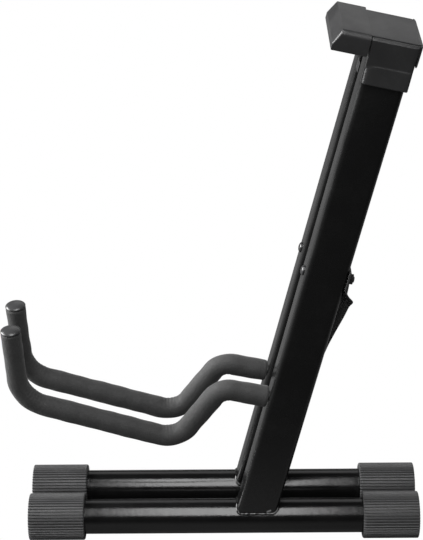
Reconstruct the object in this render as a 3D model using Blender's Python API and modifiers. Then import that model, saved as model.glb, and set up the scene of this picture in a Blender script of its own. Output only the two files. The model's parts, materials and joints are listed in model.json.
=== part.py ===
"""Folding A-frame guitar stand, shown folded.

Two upright tubes hang from a moulded head. Each upright stands on a round foot tube with ribbed rubber
caps and carries a bent arm in a foam sleeve. Each leg turns on its own pin in the head, and a strap
between the uprights limits how far the legs spread.

World: X runs across the stand (+X is the right leg), Y from front to back, Z up, floor at Z = 0.
Head: X, DEPTH (front to back, square to the uprights) and RISE (up along them, from the foot tubes' axes).
Leg: as the head, but turned in by the small angle that brings the uprights together at the top.
"""

import math

import bmesh
import bpy
from mathutils import Matrix, Vector

# Overall
UPRIGHT_RISE = 0.362  # from the foot tube's axis to the upright's upper end
LEAN_BACK = math.radians(12.7)  # of the uprights, from the vertical
FOOT_LENGTH = 0.280  # over both rubber caps
UPRIGHT_SETBACK = 0.0216  # from the middle of the foot to the upright's axis
LEG_SWING = math.radians(20)  # of each leg when the stand is open
GAP = 0.0003  # between pieces that touch

# Foot
FOOT_TUBE_RADIUS = 0.0125
TUBE_WALL = 0.0015
CAP_WALL = 0.00395
CAP_LENGTH = 0.040
CAP_END_WALL = 0.003
CAP_RIBS = 48
RIB_DEPTH = 0.0009
RIB_TOP_SHARE = 0.5  # of the pitch

# Upright
UPRIGHT_DEPTH = 0.0284
UPRIGHT_WIDTH = 0.018
UPRIGHT_CORNER = 0.0035

# Arm
ARM_RISE = 0.1034  # where the arm leaves the upright
ROD_RADIUS = 0.004
FOAM_WALL = 0.0031
NECK_LENGTH = 0.0472  # from the upright's axis to the first bend's corner
DROP_ANGLE = math.radians(54.4)
DROP_LENGTH = 0.0527
CRADLE_ANGLE = math.radians(18.0)
CRADLE_LENGTH = 0.1137
POST_LEAN = math.radians(2.6)
POST_LENGTH = 0.0548
BEND_RADII = (0.0142, 0.0195, 0.0264)
END_CAP_DOME = 0.0026
END_CAP_STEM = 0.006

# Head
HEAD_ABOVE_UPRIGHT = 0.0157  # upper face of the cover's panel
PANEL_THICKNESS = 0.0025
PANEL_CHAMFER = 0.0004
NOSE_LIFT = 0.0010  # of the nose above the panel
NOSE_OVERHANG = 0.0017  # of the nose beside the leg caps
NOSE_PLAY = 0.0010  # in front of the leg caps
NOSE_DEPTH = 0.0224
NOSE_HEIGHT = 0.0134
NOSE_CHAMFER_HEIGHT = 0.0089
NOSE_CHAMFER_DEPTH = 0.0042
NOSE_FILLET = 0.0035
COVER_WALL = 0.0022
REAR_WALL_HEIGHT = 0.0142
REAR_WALL_DROP = 0.0004  # of its upper edge below the panel
REAR_WALL = 0.0018
LEG_CAP_SIDE_WALL = 0.0011
LEG_CAP_REAR_WALL = 0.0010
LEG_CAP_INNER_WALL = 0.0043
LEG_CAP_RIM = 0.0033  # from the panel's edge to the leg cap's outside
LEG_CAP_RIM_DROP = 0.0005  # of the rim below the panel
RIM_CHAMFER = 0.0010
LEG_CAP_FLARE = 0.0015
LEG_CAP_FLARE_HEIGHT = 0.0125
SLEEVE_OVERLAP = 0.0145  # of the leg cap's sleeve over the upright
INNER_DROP = 0.0020  # of the sleeve's inner lower edge below the outer one
MIDDLE_GAP = 0.0003  # from the middle to a leg cap
RECESS_HEIGHT = 0.0130  # of the notch under the nose
RECESS_DEPTH = 0.0080
CORE_WALL = 0.0010  # round the pocket in a leg cap's inner half
CORE_DEPTH = 0.0200
CORE_HEIGHT = 0.0045

# Hinge pins
PIN_DROP = 0.0060  # of the pins' axes below the panel
PIN_RADIUS = 0.00175
PIN_HEAD_RADIUS = 0.0030
PIN_HEAD_THICKNESS = 0.0006
PIN_FRONT_STICK_OUT = 0.0030
CLIP_RADIUS = 0.0038
CLIP_THICKNESS = 0.0010

# Fasteners
SCREW_RADIUS = 0.0014
SCREW_HEAD_RADIUS = 0.0026
SCREW_LENGTH = 0.0075
SCREW_ABOVE_SLEEVE = 0.0072
BOLT_RISE = 0.2065
BOLT_RADIUS = 0.0020
BOLT_HEAD_RADIUS = 0.0035
BOLT_HEAD_HEIGHT = 0.0019
WASHER_RADIUS = 0.0048
WASHER_THICKNESS = 0.0008
NUT_RADIUS = 0.0040
NUT_THICKNESS = 0.0022
BOLT_END = 0.0008  # past the nut

# Strap
STRAP_WIDTH = 0.018
STRAP_THICKNESS = 0.0012
STRAP_DROP = 0.0735  # of the loop's lowest point below the bolts
STRAP_TAIL = 0.0085  # above the bolt

CAP_RADIUS = FOOT_TUBE_RADIUS + GAP + CAP_WALL
FOAM_RADIUS = ROD_RADIUS + GAP + FOAM_WALL
AXIS_HEIGHT = CAP_RADIUS
FOOT_OUT = CAP_RADIUS + GAP / 2  # the folded legs rest against each other at the rubber caps
HALF_DEPTH = UPRIGHT_DEPTH / 2
HEAD_RISE = UPRIGHT_RISE + HEAD_ABOVE_UPRIGHT
PIN_OUT = MIDDLE_GAP + LEG_CAP_INNER_WALL + GAP + UPRIGHT_WIDTH / 2
PIN_RISE = HEAD_RISE - PIN_DROP
LEAN_IN = math.atan2(FOOT_OUT - PIN_OUT, PIN_RISE)
LEG_CAP_OUT = PIN_OUT + UPRIGHT_WIDTH / 2 + GAP + LEG_CAP_SIDE_WALL
PANEL_OUT = LEG_CAP_OUT - LEG_CAP_RIM
NOSE_OUT = LEG_CAP_OUT + NOSE_OVERHANG
NOSE_RISE = HEAD_RISE + NOSE_LIFT
NOSE_REAR = -(HALF_DEPTH + NOSE_PLAY)
SLEEVE_REAR = HALF_DEPTH + GAP + LEG_CAP_REAR_WALL
SLEEVE_FOOT = UPRIGHT_RISE - SLEEVE_OVERLAP
SCREW_RISE = SLEEVE_FOOT + SCREW_ABOVE_SLEEVE
COVER_REAR = SLEEVE_REAR + GAP + REAR_WALL

SIDES = (("left", -1), ("right", 1))

parts = None
cutters = None
materials = {}


# ---------------------------------------------------------------- helpers


def start_scene():
    """Empties the scene and makes the collections for the parts and the cutters."""
    global parts, cutters
    for old in list(bpy.data.objects):
        bpy.data.objects.remove(old, do_unlink=True)
    parts = bpy.data.collections.new("guitar_rack")
    cutters = bpy.data.collections.new("cutters")
    bpy.context.scene.collection.children.link(parts)
    bpy.context.scene.collection.children.link(cutters)


def material(name, colour, roughness, metallic=0.0):
    """One Principled material, made once for each name."""
    if name not in materials:
        made = bpy.data.materials.new(name)
        made.use_nodes = True
        shader = made.node_tree.nodes["Principled BSDF"]
        shader.inputs["Base Color"].default_value = (*colour, 1)
        shader.inputs["Roughness"].default_value = roughness
        shader.inputs["Metallic"].default_value = metallic
        materials[name] = made
    return materials[name]


def black_paint():
    return material("black_paint", (0.012, 0.012, 0.013), 0.25)


def black_rubber():
    return material("black_rubber", (0.035, 0.035, 0.036), 0.7)


def black_foam():
    return material("black_foam", (0.030, 0.030, 0.031), 0.95)


def grey_plastic():
    return material("grey_plastic", (0.070, 0.071, 0.073), 0.6)


def zinc_steel():
    return material("zinc_steel", (0.62, 0.62, 0.60), 0.3, 1.0)


def black_steel():
    return material("black_steel", (0.030, 0.030, 0.031), 0.4, 0.6)


def black_webbing():
    return material("black_webbing", (0.015, 0.015, 0.016), 0.9)


def place(obj, parent=None, location=(0, 0, 0), rotation=(0, 0, 0)):
    """Puts an object in its parent's space."""
    obj.parent = parent
    obj.location = location
    obj.rotation_euler = rotation
    return obj


def new_object(name, mesh, finish=None, collection=None):
    obj = bpy.data.objects.new(name, mesh)
    (collection or parts).objects.link(obj)
    if finish:
        mesh.materials.append(finish)
    return obj


def hide_cutter(obj, parent=None, location=(0, 0, 0), rotation=(0, 0, 0)):
    """Keeps a Boolean modifier's shape out of the picture, in its parent's space."""
    obj.hide_render = True
    obj.display_type = "WIRE"
    return place(obj, parent, location, rotation)


def new_cutter(name, mesh):
    """A hidden shape for a Boolean modifier."""
    return hide_cutter(new_object(name, mesh, collection=cutters))


def smooth(mesh, angle=35):
    mesh.shade_smooth()
    mesh.set_sharp_from_angle(angle=math.radians(angle))


def box_mesh(name, low, high):
    """A box between two corners."""
    mesh = bpy.data.meshes.new(name)
    bm = bmesh.new()
    middle = [(a + b) / 2 for a, b in zip(low, high)]
    size = [b - a for a, b in zip(low, high)]
    bmesh.ops.create_cube(bm, size=1.0, matrix=Matrix.Translation(middle) @ Matrix.Diagonal((*size, 1)))
    bm.to_mesh(mesh)
    bm.free()
    return mesh


def rod_mesh(name, start, direction, length, radius, sides=24):
    """A closed cylinder from a point along a direction."""
    mesh = bpy.data.meshes.new(name)
    bm = bmesh.new()
    turn = Vector(direction).to_track_quat("Z", "Y").to_matrix().to_4x4()
    middle = Vector(start) + Vector(direction).normalized() * length / 2
    bmesh.ops.create_cone(
        bm,
        cap_ends=True,
        segments=sides,
        radius1=radius,
        radius2=radius,
        depth=length,
        matrix=Matrix.Translation(middle) @ turn,
    )
    bm.to_mesh(mesh)
    bm.free()
    return mesh


def turned(name, outline, finish, sides=32, collection=None):
    """A solid of revolution about Z, from (radius, height) points that run down its outer side."""
    mesh = bpy.data.meshes.new(name)
    bm = bmesh.new()
    ring = [bm.verts.new((radius, 0, height)) for radius, height in outline]
    for a, b in zip(ring, ring[1:]):
        bm.edges.new((a, b))
    if outline[0][0] > 0 and outline[-1][0] > 0:
        bm.edges.new((ring[-1], ring[0]))
    bm.to_mesh(mesh)
    bm.free()
    obj = new_object(name, mesh, finish, collection)
    screw = obj.modifiers.new("turn", "SCREW")
    screw.angle = 2 * math.pi
    screw.steps = sides
    screw.render_steps = sides
    screw.use_merge_vertices = True
    screw.merge_threshold = 0.00001
    smooth(mesh)
    return obj


def as_mesh(curve_object, name, finish, collection=None):
    """Replaces a curve object by the welded mesh of its shape."""
    collection = collection or parts
    graph = bpy.context.evaluated_depsgraph_get()
    mesh = bpy.data.meshes.new_from_object(curve_object.evaluated_get(graph))
    mesh.name = name
    bm = bmesh.new()
    bm.from_mesh(mesh)
    bmesh.ops.remove_doubles(bm, verts=bm.verts, dist=0.000001)
    bm.to_mesh(mesh)
    bm.free()
    mesh.materials.clear()
    matrix = curve_object.matrix_world.copy()
    curve = curve_object.data
    bpy.data.objects.remove(curve_object, do_unlink=True)
    bpy.data.curves.remove(curve)
    made = new_object(name, mesh, finish, collection)
    made.matrix_world = matrix
    return made


def prism(name, outline, low, high, finish=None, collection=None):
    """A flat outline in X and Y between two heights."""
    curve = bpy.data.curves.new(name + "_outline", "CURVE")
    curve.dimensions = "2D"
    curve.fill_mode = "BOTH"
    curve.extrude = (high - low) / 2
    line = curve.splines.new("POLY")
    line.points.add(len(outline) - 1)
    for point, (x, y) in zip(line.points, outline):
        point.co = (x, y, 0, 1)
    line.use_cyclic_u = True
    holder = bpy.data.objects.new(name + "_outline", curve)
    (collection or parts).objects.link(holder)
    bpy.context.view_layer.update()
    made = as_mesh(holder, name, finish, collection)
    made.data.transform(Matrix.Translation((0, 0, (low + high) / 2)))
    return made


def tube_along(name, points, radius, resolution, finish=None, collection=None):
    """A round solid along a line of points."""
    curve = bpy.data.curves.new(name + "_line", "CURVE")
    curve.dimensions = "3D"
    curve.bevel_depth = radius
    curve.bevel_resolution = resolution
    curve.use_fill_caps = True
    line = curve.splines.new("POLY")
    line.points.add(len(points) - 1)
    for point, place_at in zip(line.points, points):
        point.co = (*place_at, 1)
    holder = bpy.data.objects.new(name + "_line", curve)
    (collection or parts).objects.link(holder)
    bpy.context.view_layer.update()
    return as_mesh(holder, name, finish, collection)


def boolean(obj, other, operation="DIFFERENCE"):
    """Joins or cuts an object with another, which has the same parent."""
    step = obj.modifiers.new(operation.lower(), "BOOLEAN")
    step.operation = operation
    step.solver = "EXACT"
    step.object = other


def cut_with(obj, name, mesh):
    """Cuts a shape that is given in the object's own space."""
    cutter = new_cutter(name, mesh)
    cutter.parent = obj
    boolean(obj, cutter)


def rounded_rectangle(width, depth, corner, steps=4):
    """Points round a rectangle with quarter-circle corners."""
    points = []
    for quarter, (sx, sy) in enumerate(((1, 1), (-1, 1), (-1, -1), (1, -1))):
        for step in range(steps + 1):
            angle = (quarter + step / steps) * math.pi / 2
            points.append(
                (
                    sx * (width / 2 - corner) + corner * math.cos(angle),
                    sy * (depth / 2 - corner) + corner * math.sin(angle),
                )
            )
    return points


# ---------------------------------------------------------------- arm centre line


def arm_corners():
    """The arm's corners as (forward, up) from the foot of the upright's axis."""
    across = Vector((math.cos(LEAN_BACK), math.sin(LEAN_BACK)))
    along = Vector((-math.sin(LEAN_BACK), math.cos(LEAN_BACK)))
    entry = along * ARM_RISE
    neck = entry + across * NECK_LENGTH
    drop = neck + DROP_LENGTH * Vector((math.cos(DROP_ANGLE), -math.sin(DROP_ANGLE)))
    cradle = drop + CRADLE_LENGTH * Vector((math.cos(CRADLE_ANGLE), math.sin(CRADLE_ANGLE)))
    post = cradle + POST_LENGTH * Vector((math.sin(POST_LEAN), math.cos(POST_LEAN)))
    return [entry, neck, drop, cradle, post]


def arm_line(start, end, steps=6):
    """The arm's centre line as (forward, up) points, shortened by start and end at its two ends."""
    corners = arm_corners()
    line = [corners[0]]
    for before, corner, after, radius in zip(corners, corners[1:], corners[2:], BEND_RADII):
        back = (before - corner).normalized()
        ahead = (after - corner).normalized()
        half = back.angle(ahead) / 2
        centre = corner + (back + ahead).normalized() * radius / math.sin(half)
        spoke = corner + back * radius / math.tan(half) - centre
        sweep = math.pi - 2 * half
        if back.x * ahead.y > back.y * ahead.x:
            sweep = -sweep
        for step in range(steps + 1):
            line.append(centre + Matrix.Rotation(sweep * step / steps, 2) @ spoke)
    line.append(corners[-1])
    line[0] = line[0] + (line[1] - line[0]).normalized() * start
    line[-1] = line[-1] + (line[-2] - line[-1]).normalized() * end
    return line


FRONT_MOST = max(point.x for point in arm_line(0, 0)) + FOAM_RADIUS - UPRIGHT_SETBACK
FOOT_MIDDLE = (FRONT_MOST - FOOT_LENGTH / 2) / 2  # puts the origin under the middle of the whole stand


# ---------------------------------------------------------------- frames


def empty(name, parent, location, rotation):
    made = bpy.data.objects.new(name, None)
    parts.objects.link(made)
    return place(made, parent, location, rotation)


def make_frames():
    """Empties: the head, and on each leg's hinge axis one that carries all that moves with the leg."""
    upright = Matrix.Rotation(-LEAN_BACK, 3, "X")
    base = Vector((0, FOOT_MIDDLE + UPRIGHT_SETBACK, AXIS_HEIGHT))
    frames = {"head": empty("head", None, base, (-LEAN_BACK, 0, 0))}
    setback = upright.inverted() @ Vector((0, -UPRIGHT_SETBACK, 0))
    for name, side in SIDES:
        pin = base + upright @ Vector((side * PIN_OUT, 0, PIN_RISE))
        hinge = empty(name + "_leg_hinge", None, pin, (-LEAN_BACK, 0, 0))
        foot_axis = Vector((side * (FOOT_OUT - PIN_OUT), 0, -PIN_RISE))
        frames[name] = empty(name + "_leg", hinge, foot_axis, (0, -side * LEAN_IN, 0))
        frames[name + "_cap"] = empty(name + "_leg_top", hinge, (-side * PIN_OUT, 0, -PIN_RISE), (0, 0, 0))
        frames[name + "_foot"] = empty(name + "_foot", hinge, foot_axis + setback, (LEAN_BACK, 0, 0))
    bpy.context.view_layer.update()
    return frames


# ---------------------------------------------------------------- foot


def make_foot_tube(name, foot):
    """The round tube along the floor, open at both ends."""
    half = FOOT_LENGTH / 2 - CAP_END_WALL - GAP
    inner = FOOT_TUBE_RADIUS - TUBE_WALL
    outline = [(FOOT_TUBE_RADIUS, half), (FOOT_TUBE_RADIUS, -half), (inner, -half), (inner, half)]
    tube = turned(f"foot_tube_{name}", outline, black_paint(), 48)
    place(tube, foot, (0, 0, 0), (-math.pi / 2, 0, 0))


def rib_outline():
    """The cap's outline: flat rib tops with V grooves between them, one top facing the floor."""
    pitch = 2 * math.pi / CAP_RIBS
    half_top = pitch * RIB_TOP_SHARE / 2
    top = CAP_RADIUS / math.cos(half_top)
    points = []
    for rib in range(CAP_RIBS):
        middle = rib * pitch
        for angle, radius in (
            (middle - half_top, top),
            (middle + half_top, top),
            (middle + pitch / 2, CAP_RADIUS - RIB_DEPTH),
        ):
            points.append((radius * math.cos(angle), radius * math.sin(angle)))
    return points


def make_foot_caps(name, foot):
    """A ribbed rubber cap over each end of the foot tube."""
    for end, way in (("front", -1), ("rear", 1)):
        cap = prism(f"foot_cap_{end}_{name}", rib_outline(), 0, CAP_LENGTH, black_rubber())
        bore = rod_mesh("bore", (0, 0, CAP_END_WALL), (0, 0, 1), CAP_LENGTH, FOOT_TUBE_RADIUS + GAP, 48)
        cut_with(cap, f"foot_cap_bore_{end}_{name}", bore)
        place(cap, foot, (0, way * FOOT_LENGTH / 2, 0), (way * math.pi / 2, 0, 0))


# ---------------------------------------------------------------- upright


def make_upright(name, leg, foot):
    """The rectangular tube, notched to sit on the foot tube and drilled for arm, strap bolt and screw."""
    outer = rounded_rectangle(UPRIGHT_WIDTH, UPRIGHT_DEPTH, UPRIGHT_CORNER)
    upright = prism(f"upright_{name}", outer, 0, UPRIGHT_RISE, black_paint())
    place(upright, leg)
    inner = rounded_rectangle(
        UPRIGHT_WIDTH - 2 * TUBE_WALL, UPRIGHT_DEPTH - 2 * TUBE_WALL, UPRIGHT_CORNER - TUBE_WALL
    )
    hollow = prism(f"hollow_{name}", inner, -AXIS_HEIGHT, UPRIGHT_RISE + AXIS_HEIGHT, None, cutters)
    hide_cutter(hollow, leg)
    boolean(upright, hollow)
    saddle_mesh = rod_mesh(
        "saddle", (0, -FOOT_LENGTH / 2, 0), (0, 1, 0), FOOT_LENGTH, FOOT_TUBE_RADIUS + GAP, 48
    )
    saddle = new_cutter(f"saddle_{name}", saddle_mesh)
    place(saddle, foot)
    boolean(upright, saddle)
    drill = 2 * TUBE_WALL
    before = -HALF_DEPTH - TUBE_WALL / 2
    behind = HALF_DEPTH + TUBE_WALL / 2
    rod_hole = rod_mesh("rod_hole", (0, before, ARM_RISE), (0, 1, 0), drill, ROD_RADIUS + GAP)
    cut_with(upright, f"rod_hole_{name}", rod_hole)
    for end, depth in (("front", before), ("rear", behind - drill)):
        bolt_hole = rod_mesh("bolt_hole", (0, depth, BOLT_RISE), (0, 1, 0), drill, BOLT_RADIUS + GAP)
        cut_with(upright, f"bolt_hole_{end}_{name}", bolt_hole)
    screw_hole = rod_mesh("screw_hole", (0, behind, SCREW_RISE), (0, -1, 0), drill, SCREW_RADIUS + GAP)
    cut_with(upright, f"screw_hole_{name}", screw_hole)


# ---------------------------------------------------------------- arm


def arm_points(start, end):
    """The arm's centre line in the leg's frame, shortened by start and end at its two ends."""
    turn = Matrix.Rotation(LEAN_BACK, 3, "X")
    return [turn @ Vector((0, -point.x, point.y)) for point in arm_line(start, end)]


def make_arm(name, leg):
    """The bent rod, its foam sleeve and the domed plug in the sleeve's end."""
    rod_start = -(HALF_DEPTH - TUBE_WALL - GAP)
    rod_line = arm_points(rod_start, END_CAP_STEM + GAP)
    place(tube_along(f"arm_rod_{name}", rod_line, ROD_RADIUS, 3, black_paint()), leg)
    foam_line = arm_points(HALF_DEPTH + GAP, 0)
    foam = tube_along(f"arm_foam_{name}", foam_line, FOAM_RADIUS, 4, black_foam())
    place(foam, leg)
    bore_line = arm_points(rod_start, -END_CAP_STEM)
    bore = tube_along(f"foam_bore_{name}", bore_line, ROD_RADIUS + GAP, 3, None, cutters)
    hide_cutter(bore, leg)
    boolean(foam, bore)
    make_end_cap(name, leg)


def make_end_cap(name, leg):
    """A shallow dome on a stem that fills the end of the foam's bore."""
    steps = 5
    outline = [(0, GAP + END_CAP_DOME)]
    for step in range(1, steps + 1):
        angle = math.pi / 2 * step / steps
        outline.append((FOAM_RADIUS * math.sin(angle), GAP + END_CAP_DOME * math.cos(angle)))
    stem = ROD_RADIUS - GAP
    outline += [(stem, GAP), (stem, -END_CAP_STEM), (0, -END_CAP_STEM)]
    plug = turned(f"arm_end_cap_{name}", outline, grey_plastic(), 24)
    before, tip = arm_points(0, 0)[-2:]
    place(plug, leg, tip, (tip - before).to_track_quat("Z", "Y").to_euler())


# ---------------------------------------------------------------- head


def across(mesh):
    """Turns a prism's outline in (DEPTH, RISE) so that its heights run along X."""
    mesh.transform(Matrix(((0, 0, 1, 0), (1, 0, 0, 0), (0, 1, 0, 0), (0, 0, 0, 1))))


def along_depth(mesh):
    """Turns a prism's outline in (X, RISE) so that its heights run forwards."""
    mesh.transform(Matrix(((1, 0, 0, 0), (0, 0, -1, 0), (0, 1, 0, 0), (0, 0, 0, 1))))


def make_top_cover(head):
    """The cover over both legs: panel, hollow nose in front, and rear wall that holds the pins' heads."""
    nose_foot = NOSE_RISE - NOSE_HEIGHT
    front = NOSE_REAR - NOSE_DEPTH
    chamfer_front = front + NOSE_CHAMFER_DEPTH
    profile = [
        (NOSE_REAR, nose_foot),
        (NOSE_REAR, NOSE_RISE),
        (chamfer_front, NOSE_RISE),
        (front, NOSE_RISE - NOSE_CHAMFER_HEIGHT),
        (front, nose_foot),
    ]
    cover = prism("top_cover", profile, -NOSE_OUT, NOSE_OUT, grey_plastic())
    across(cover.data)
    fillet_nose(cover.data)
    place(cover, head)
    inner = [
        (NOSE_REAR - COVER_WALL, nose_foot - COVER_WALL),
        (NOSE_REAR - COVER_WALL, NOSE_RISE - COVER_WALL),
        (chamfer_front + COVER_WALL / 2, NOSE_RISE - COVER_WALL),
        (front + COVER_WALL, NOSE_RISE - NOSE_CHAMFER_HEIGHT),
        (front + COVER_WALL, nose_foot - COVER_WALL),
    ]
    hollow = prism("nose_hollow", inner, COVER_WALL - NOSE_OUT, NOSE_OUT - COVER_WALL, None, cutters)
    across(hollow.data)
    hide_cutter(hollow, head)
    boolean(cover, hollow)
    edge = PANEL_OUT - PANEL_CHAMFER
    section = [
        (-PANEL_OUT, HEAD_RISE - PANEL_THICKNESS),
        (PANEL_OUT, HEAD_RISE - PANEL_THICKNESS),
        (PANEL_OUT, HEAD_RISE - PANEL_CHAMFER),
        (edge, HEAD_RISE),
        (-edge, HEAD_RISE),
        (-PANEL_OUT, HEAD_RISE - PANEL_CHAMFER),
    ]
    panel = prism(
        "panel", section, -(COVER_REAR - REAR_WALL / 2), -(NOSE_REAR - COVER_WALL / 2), None, cutters
    )
    along_depth(panel.data)
    hide_cutter(panel, head)
    boolean(cover, panel, "UNION")
    wall_top = HEAD_RISE - REAR_WALL_DROP
    wall_mesh = box_mesh(
        "rear_wall",
        (-LEG_CAP_OUT, SLEEVE_REAR + GAP, wall_top - REAR_WALL_HEIGHT),
        (LEG_CAP_OUT, COVER_REAR, wall_top),
    )
    wall = new_cutter("rear_wall", wall_mesh)
    place(wall, head)
    boolean(cover, wall, "UNION")
    for name, side in SIDES:
        start = NOSE_REAR - COVER_WALL - GAP
        length = COVER_REAR + GAP - start
        hole = rod_mesh(
            "pin_hole", (side * PIN_OUT, start, PIN_RISE), (0, 1, 0), length, PIN_RADIUS + GAP
        )
        cut_with(cover, f"pin_hole_{name}", hole)
        seat_depth = PIN_HEAD_THICKNESS + GAP
        seat = rod_mesh(
            "pin_seat",
            (side * PIN_OUT, COVER_REAR - seat_depth, PIN_RISE),
            (0, 1, 0),
            2 * seat_depth,
            PIN_HEAD_RADIUS + GAP,
        )
        cut_with(cover, f"pin_seat_{name}", seat)


def fillet_nose(mesh):
    """Rounds the nose's upper side edges."""
    bm = bmesh.new()
    bm.from_mesh(mesh)
    tiny = NOSE_FILLET / 100
    edges = []
    for edge in bm.edges:
        ends = [v.co for v in edge.verts]
        at_side = min(abs(co.x) for co in ends) > NOSE_OUT - tiny and ends[0].x * ends[1].x > 0
        at_top = min(co.z for co in ends) > NOSE_RISE - NOSE_CHAMFER_HEIGHT - tiny
        inside = all(co.y > NOSE_REAR - tiny for co in ends)
        if at_side and at_top and not inside:
            edges.append(edge)
    bmesh.ops.bevel(
        bm, geom=edges, offset=NOSE_FILLET, segments=3, profile=0.5, affect="EDGES", clamp_overlap=True
    )
    bm.to_mesh(mesh)
    bm.free()


def rim_outline():
    """The leg cap's inner side under the panel, as (x, rise) from the pin's axis, rim first.

    The rim's arc about the pin clears the panel's edge, and the slope below it clears the panel's
    underside, through the whole swing of the leg.
    """
    edge_out = PANEL_OUT - PIN_OUT
    reach = max(
        math.hypot(edge_out, PIN_DROP - PANEL_CHAMFER), math.hypot(edge_out - PANEL_CHAMFER, PIN_DROP)
    )
    outer_radius = reach + GAP
    under = PIN_DROP - PANEL_THICKNESS - GAP
    top = PIN_DROP - LEG_CAP_RIM_DROP
    first = math.asin(top / outer_radius)
    last = math.pi / 2 - LEG_SWING - math.acos(under / outer_radius)
    steps = 5
    points = []
    for step in range(steps + 1):
        angle = first + (last - first) * step / steps
        points.append((outer_radius * math.cos(angle), outer_radius * math.sin(angle)))
    points.append((under * math.sin(LEG_SWING), under * math.cos(LEG_SWING)))
    points.append((0, under))
    return points


def make_leg_cap(name, side, top, leg):
    """The moulded cap on an upright: socket, flared sleeve, rim beside the panel and inner half."""
    rim_top = HEAD_RISE - LEG_CAP_RIM_DROP
    under = PIN_RISE + rim_outline()[-1][1]
    outline = [
        (MIDDLE_GAP, SLEEVE_FOOT - INNER_DROP),
        (LEG_CAP_OUT + LEG_CAP_FLARE, SLEEVE_FOOT),
        (LEG_CAP_OUT, SLEEVE_FOOT + LEG_CAP_FLARE_HEIGHT),
        (LEG_CAP_OUT, rim_top - RIM_CHAMFER),
        (LEG_CAP_OUT - RIM_CHAMFER, rim_top),
    ]
    outline += [(PIN_OUT + x, PIN_RISE + rise) for x, rise in rim_outline()]
    outline.append((MIDDLE_GAP, under))
    sided = [(side * x, rise) for x, rise in outline]
    cap = prism(f"leg_cap_{name}", sided, -SLEEVE_REAR, HALF_DEPTH, grey_plastic())
    along_depth(cap.data)
    place(cap, top)
    half_socket = UPRIGHT_WIDTH / 2 + GAP
    socket = new_cutter(
        f"socket_{name}",
        box_mesh(
            "socket",
            (-half_socket, -UPRIGHT_DEPTH, SLEEVE_FOOT - UPRIGHT_WIDTH),
            (half_socket, HALF_DEPTH + GAP, UPRIGHT_RISE + GAP),
        ),
    )
    place(socket, leg)
    boolean(cap, socket)
    recess_top = NOSE_RISE - NOSE_HEIGHT
    recess_low = (-PIN_OUT, -UPRIGHT_DEPTH, recess_top - RECESS_HEIGHT)
    recess_high = (PIN_OUT, RECESS_DEPTH - HALF_DEPTH, recess_top)
    cut_with(cap, f"recess_{name}", side_box(side, recess_low, recess_high))
    core_low = (MIDDLE_GAP + CORE_WALL, -CORE_DEPTH / 2, SLEEVE_FOOT - UPRIGHT_WIDTH)
    core_high = (MIDDLE_GAP + LEG_CAP_INNER_WALL - CORE_WALL, CORE_DEPTH / 2, SLEEVE_FOOT + CORE_HEIGHT)
    cut_with(cap, f"core_{name}", side_box(side, core_low, core_high))
    pin_start = (side * PIN_OUT, -UPRIGHT_DEPTH, PIN_RISE)
    pin_bore = rod_mesh("pin_bore", pin_start, (0, 1, 0), 2 * UPRIGHT_DEPTH, PIN_RADIUS + GAP)
    cut_with(cap, f"pin_bore_{name}", pin_bore)
    sink = turned(f"screw_sink_{name}", screw_outline(GAP), None, 24, cutters)
    hide_cutter(sink, leg, (0, SLEEVE_REAR, SCREW_RISE), (-math.pi / 2, 0, 0))
    boolean(cap, sink)


def side_box(side, low, high):
    """A box given for the right side, mirrored for the left."""
    xs = sorted((side * low[0], side * high[0]))
    return box_mesh("box", (xs[0], *low[1:]), (xs[1], *high[1:]))


def make_hinge_pin(name, side, head):
    """The headed pin through rear wall, leg cap and nose, and the clip on its front end."""
    front = NOSE_REAR - COVER_WALL - PIN_FRONT_STICK_OUT
    shoulder = COVER_REAR - PIN_HEAD_THICKNESS
    length = shoulder - front
    outline = [
        (0, length + PIN_HEAD_THICKNESS),
        (PIN_HEAD_RADIUS, length + PIN_HEAD_THICKNESS),
        (PIN_HEAD_RADIUS, length),
        (PIN_RADIUS, length),
        (PIN_RADIUS, 0),
        (0, 0),
    ]
    pin = turned(f"hinge_pin_{name}", outline, zinc_steel(), 24)
    place(pin, head, (side * PIN_OUT, front, PIN_RISE), (-math.pi / 2, 0, 0))
    clip = ring_piece(f"pin_clip_{name}", CLIP_RADIUS, PIN_RADIUS + GAP, CLIP_THICKNESS, zinc_steel())
    clip_depth = NOSE_REAR - COVER_WALL - GAP - CLIP_THICKNESS
    place(clip, head, (side * PIN_OUT, clip_depth, PIN_RISE), (-math.pi / 2, 0, 0))


# ---------------------------------------------------------------- fasteners


def ring_piece(name, outer, inner, thickness, finish):
    """A flat ring from Z = 0 upwards."""
    outline = [(outer, thickness), (outer, 0), (inner, 0), (inner, thickness)]
    return turned(name, outline, finish, 24)


def screw_outline(clearance):
    """Half section of the countersunk screw, all round larger by a clearance."""
    cone = SCREW_HEAD_RADIUS - SCREW_RADIUS
    shank = SCREW_RADIUS + clearance
    return [
        (0, clearance),
        (SCREW_HEAD_RADIUS + clearance, clearance),
        (SCREW_HEAD_RADIUS + clearance, 0),
        (shank, -cone),
        (shank, -SCREW_LENGTH),
        (0, -SCREW_LENGTH - clearance),
    ]


def make_cap_screw(name, leg):
    """The countersunk screw that holds a leg cap on its upright."""
    cone = SCREW_HEAD_RADIUS - SCREW_RADIUS
    outline = [
        (0, 0),
        (SCREW_HEAD_RADIUS, 0),
        (SCREW_RADIUS, -cone),
        (SCREW_RADIUS, -SCREW_LENGTH + SCREW_RADIUS),
        (0, -SCREW_LENGTH),
    ]
    screw = turned(f"cap_screw_{name}", outline, zinc_steel(), 24)
    place(screw, leg, (0, SLEEVE_REAR, SCREW_RISE), (-math.pi / 2, 0, 0))


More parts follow.
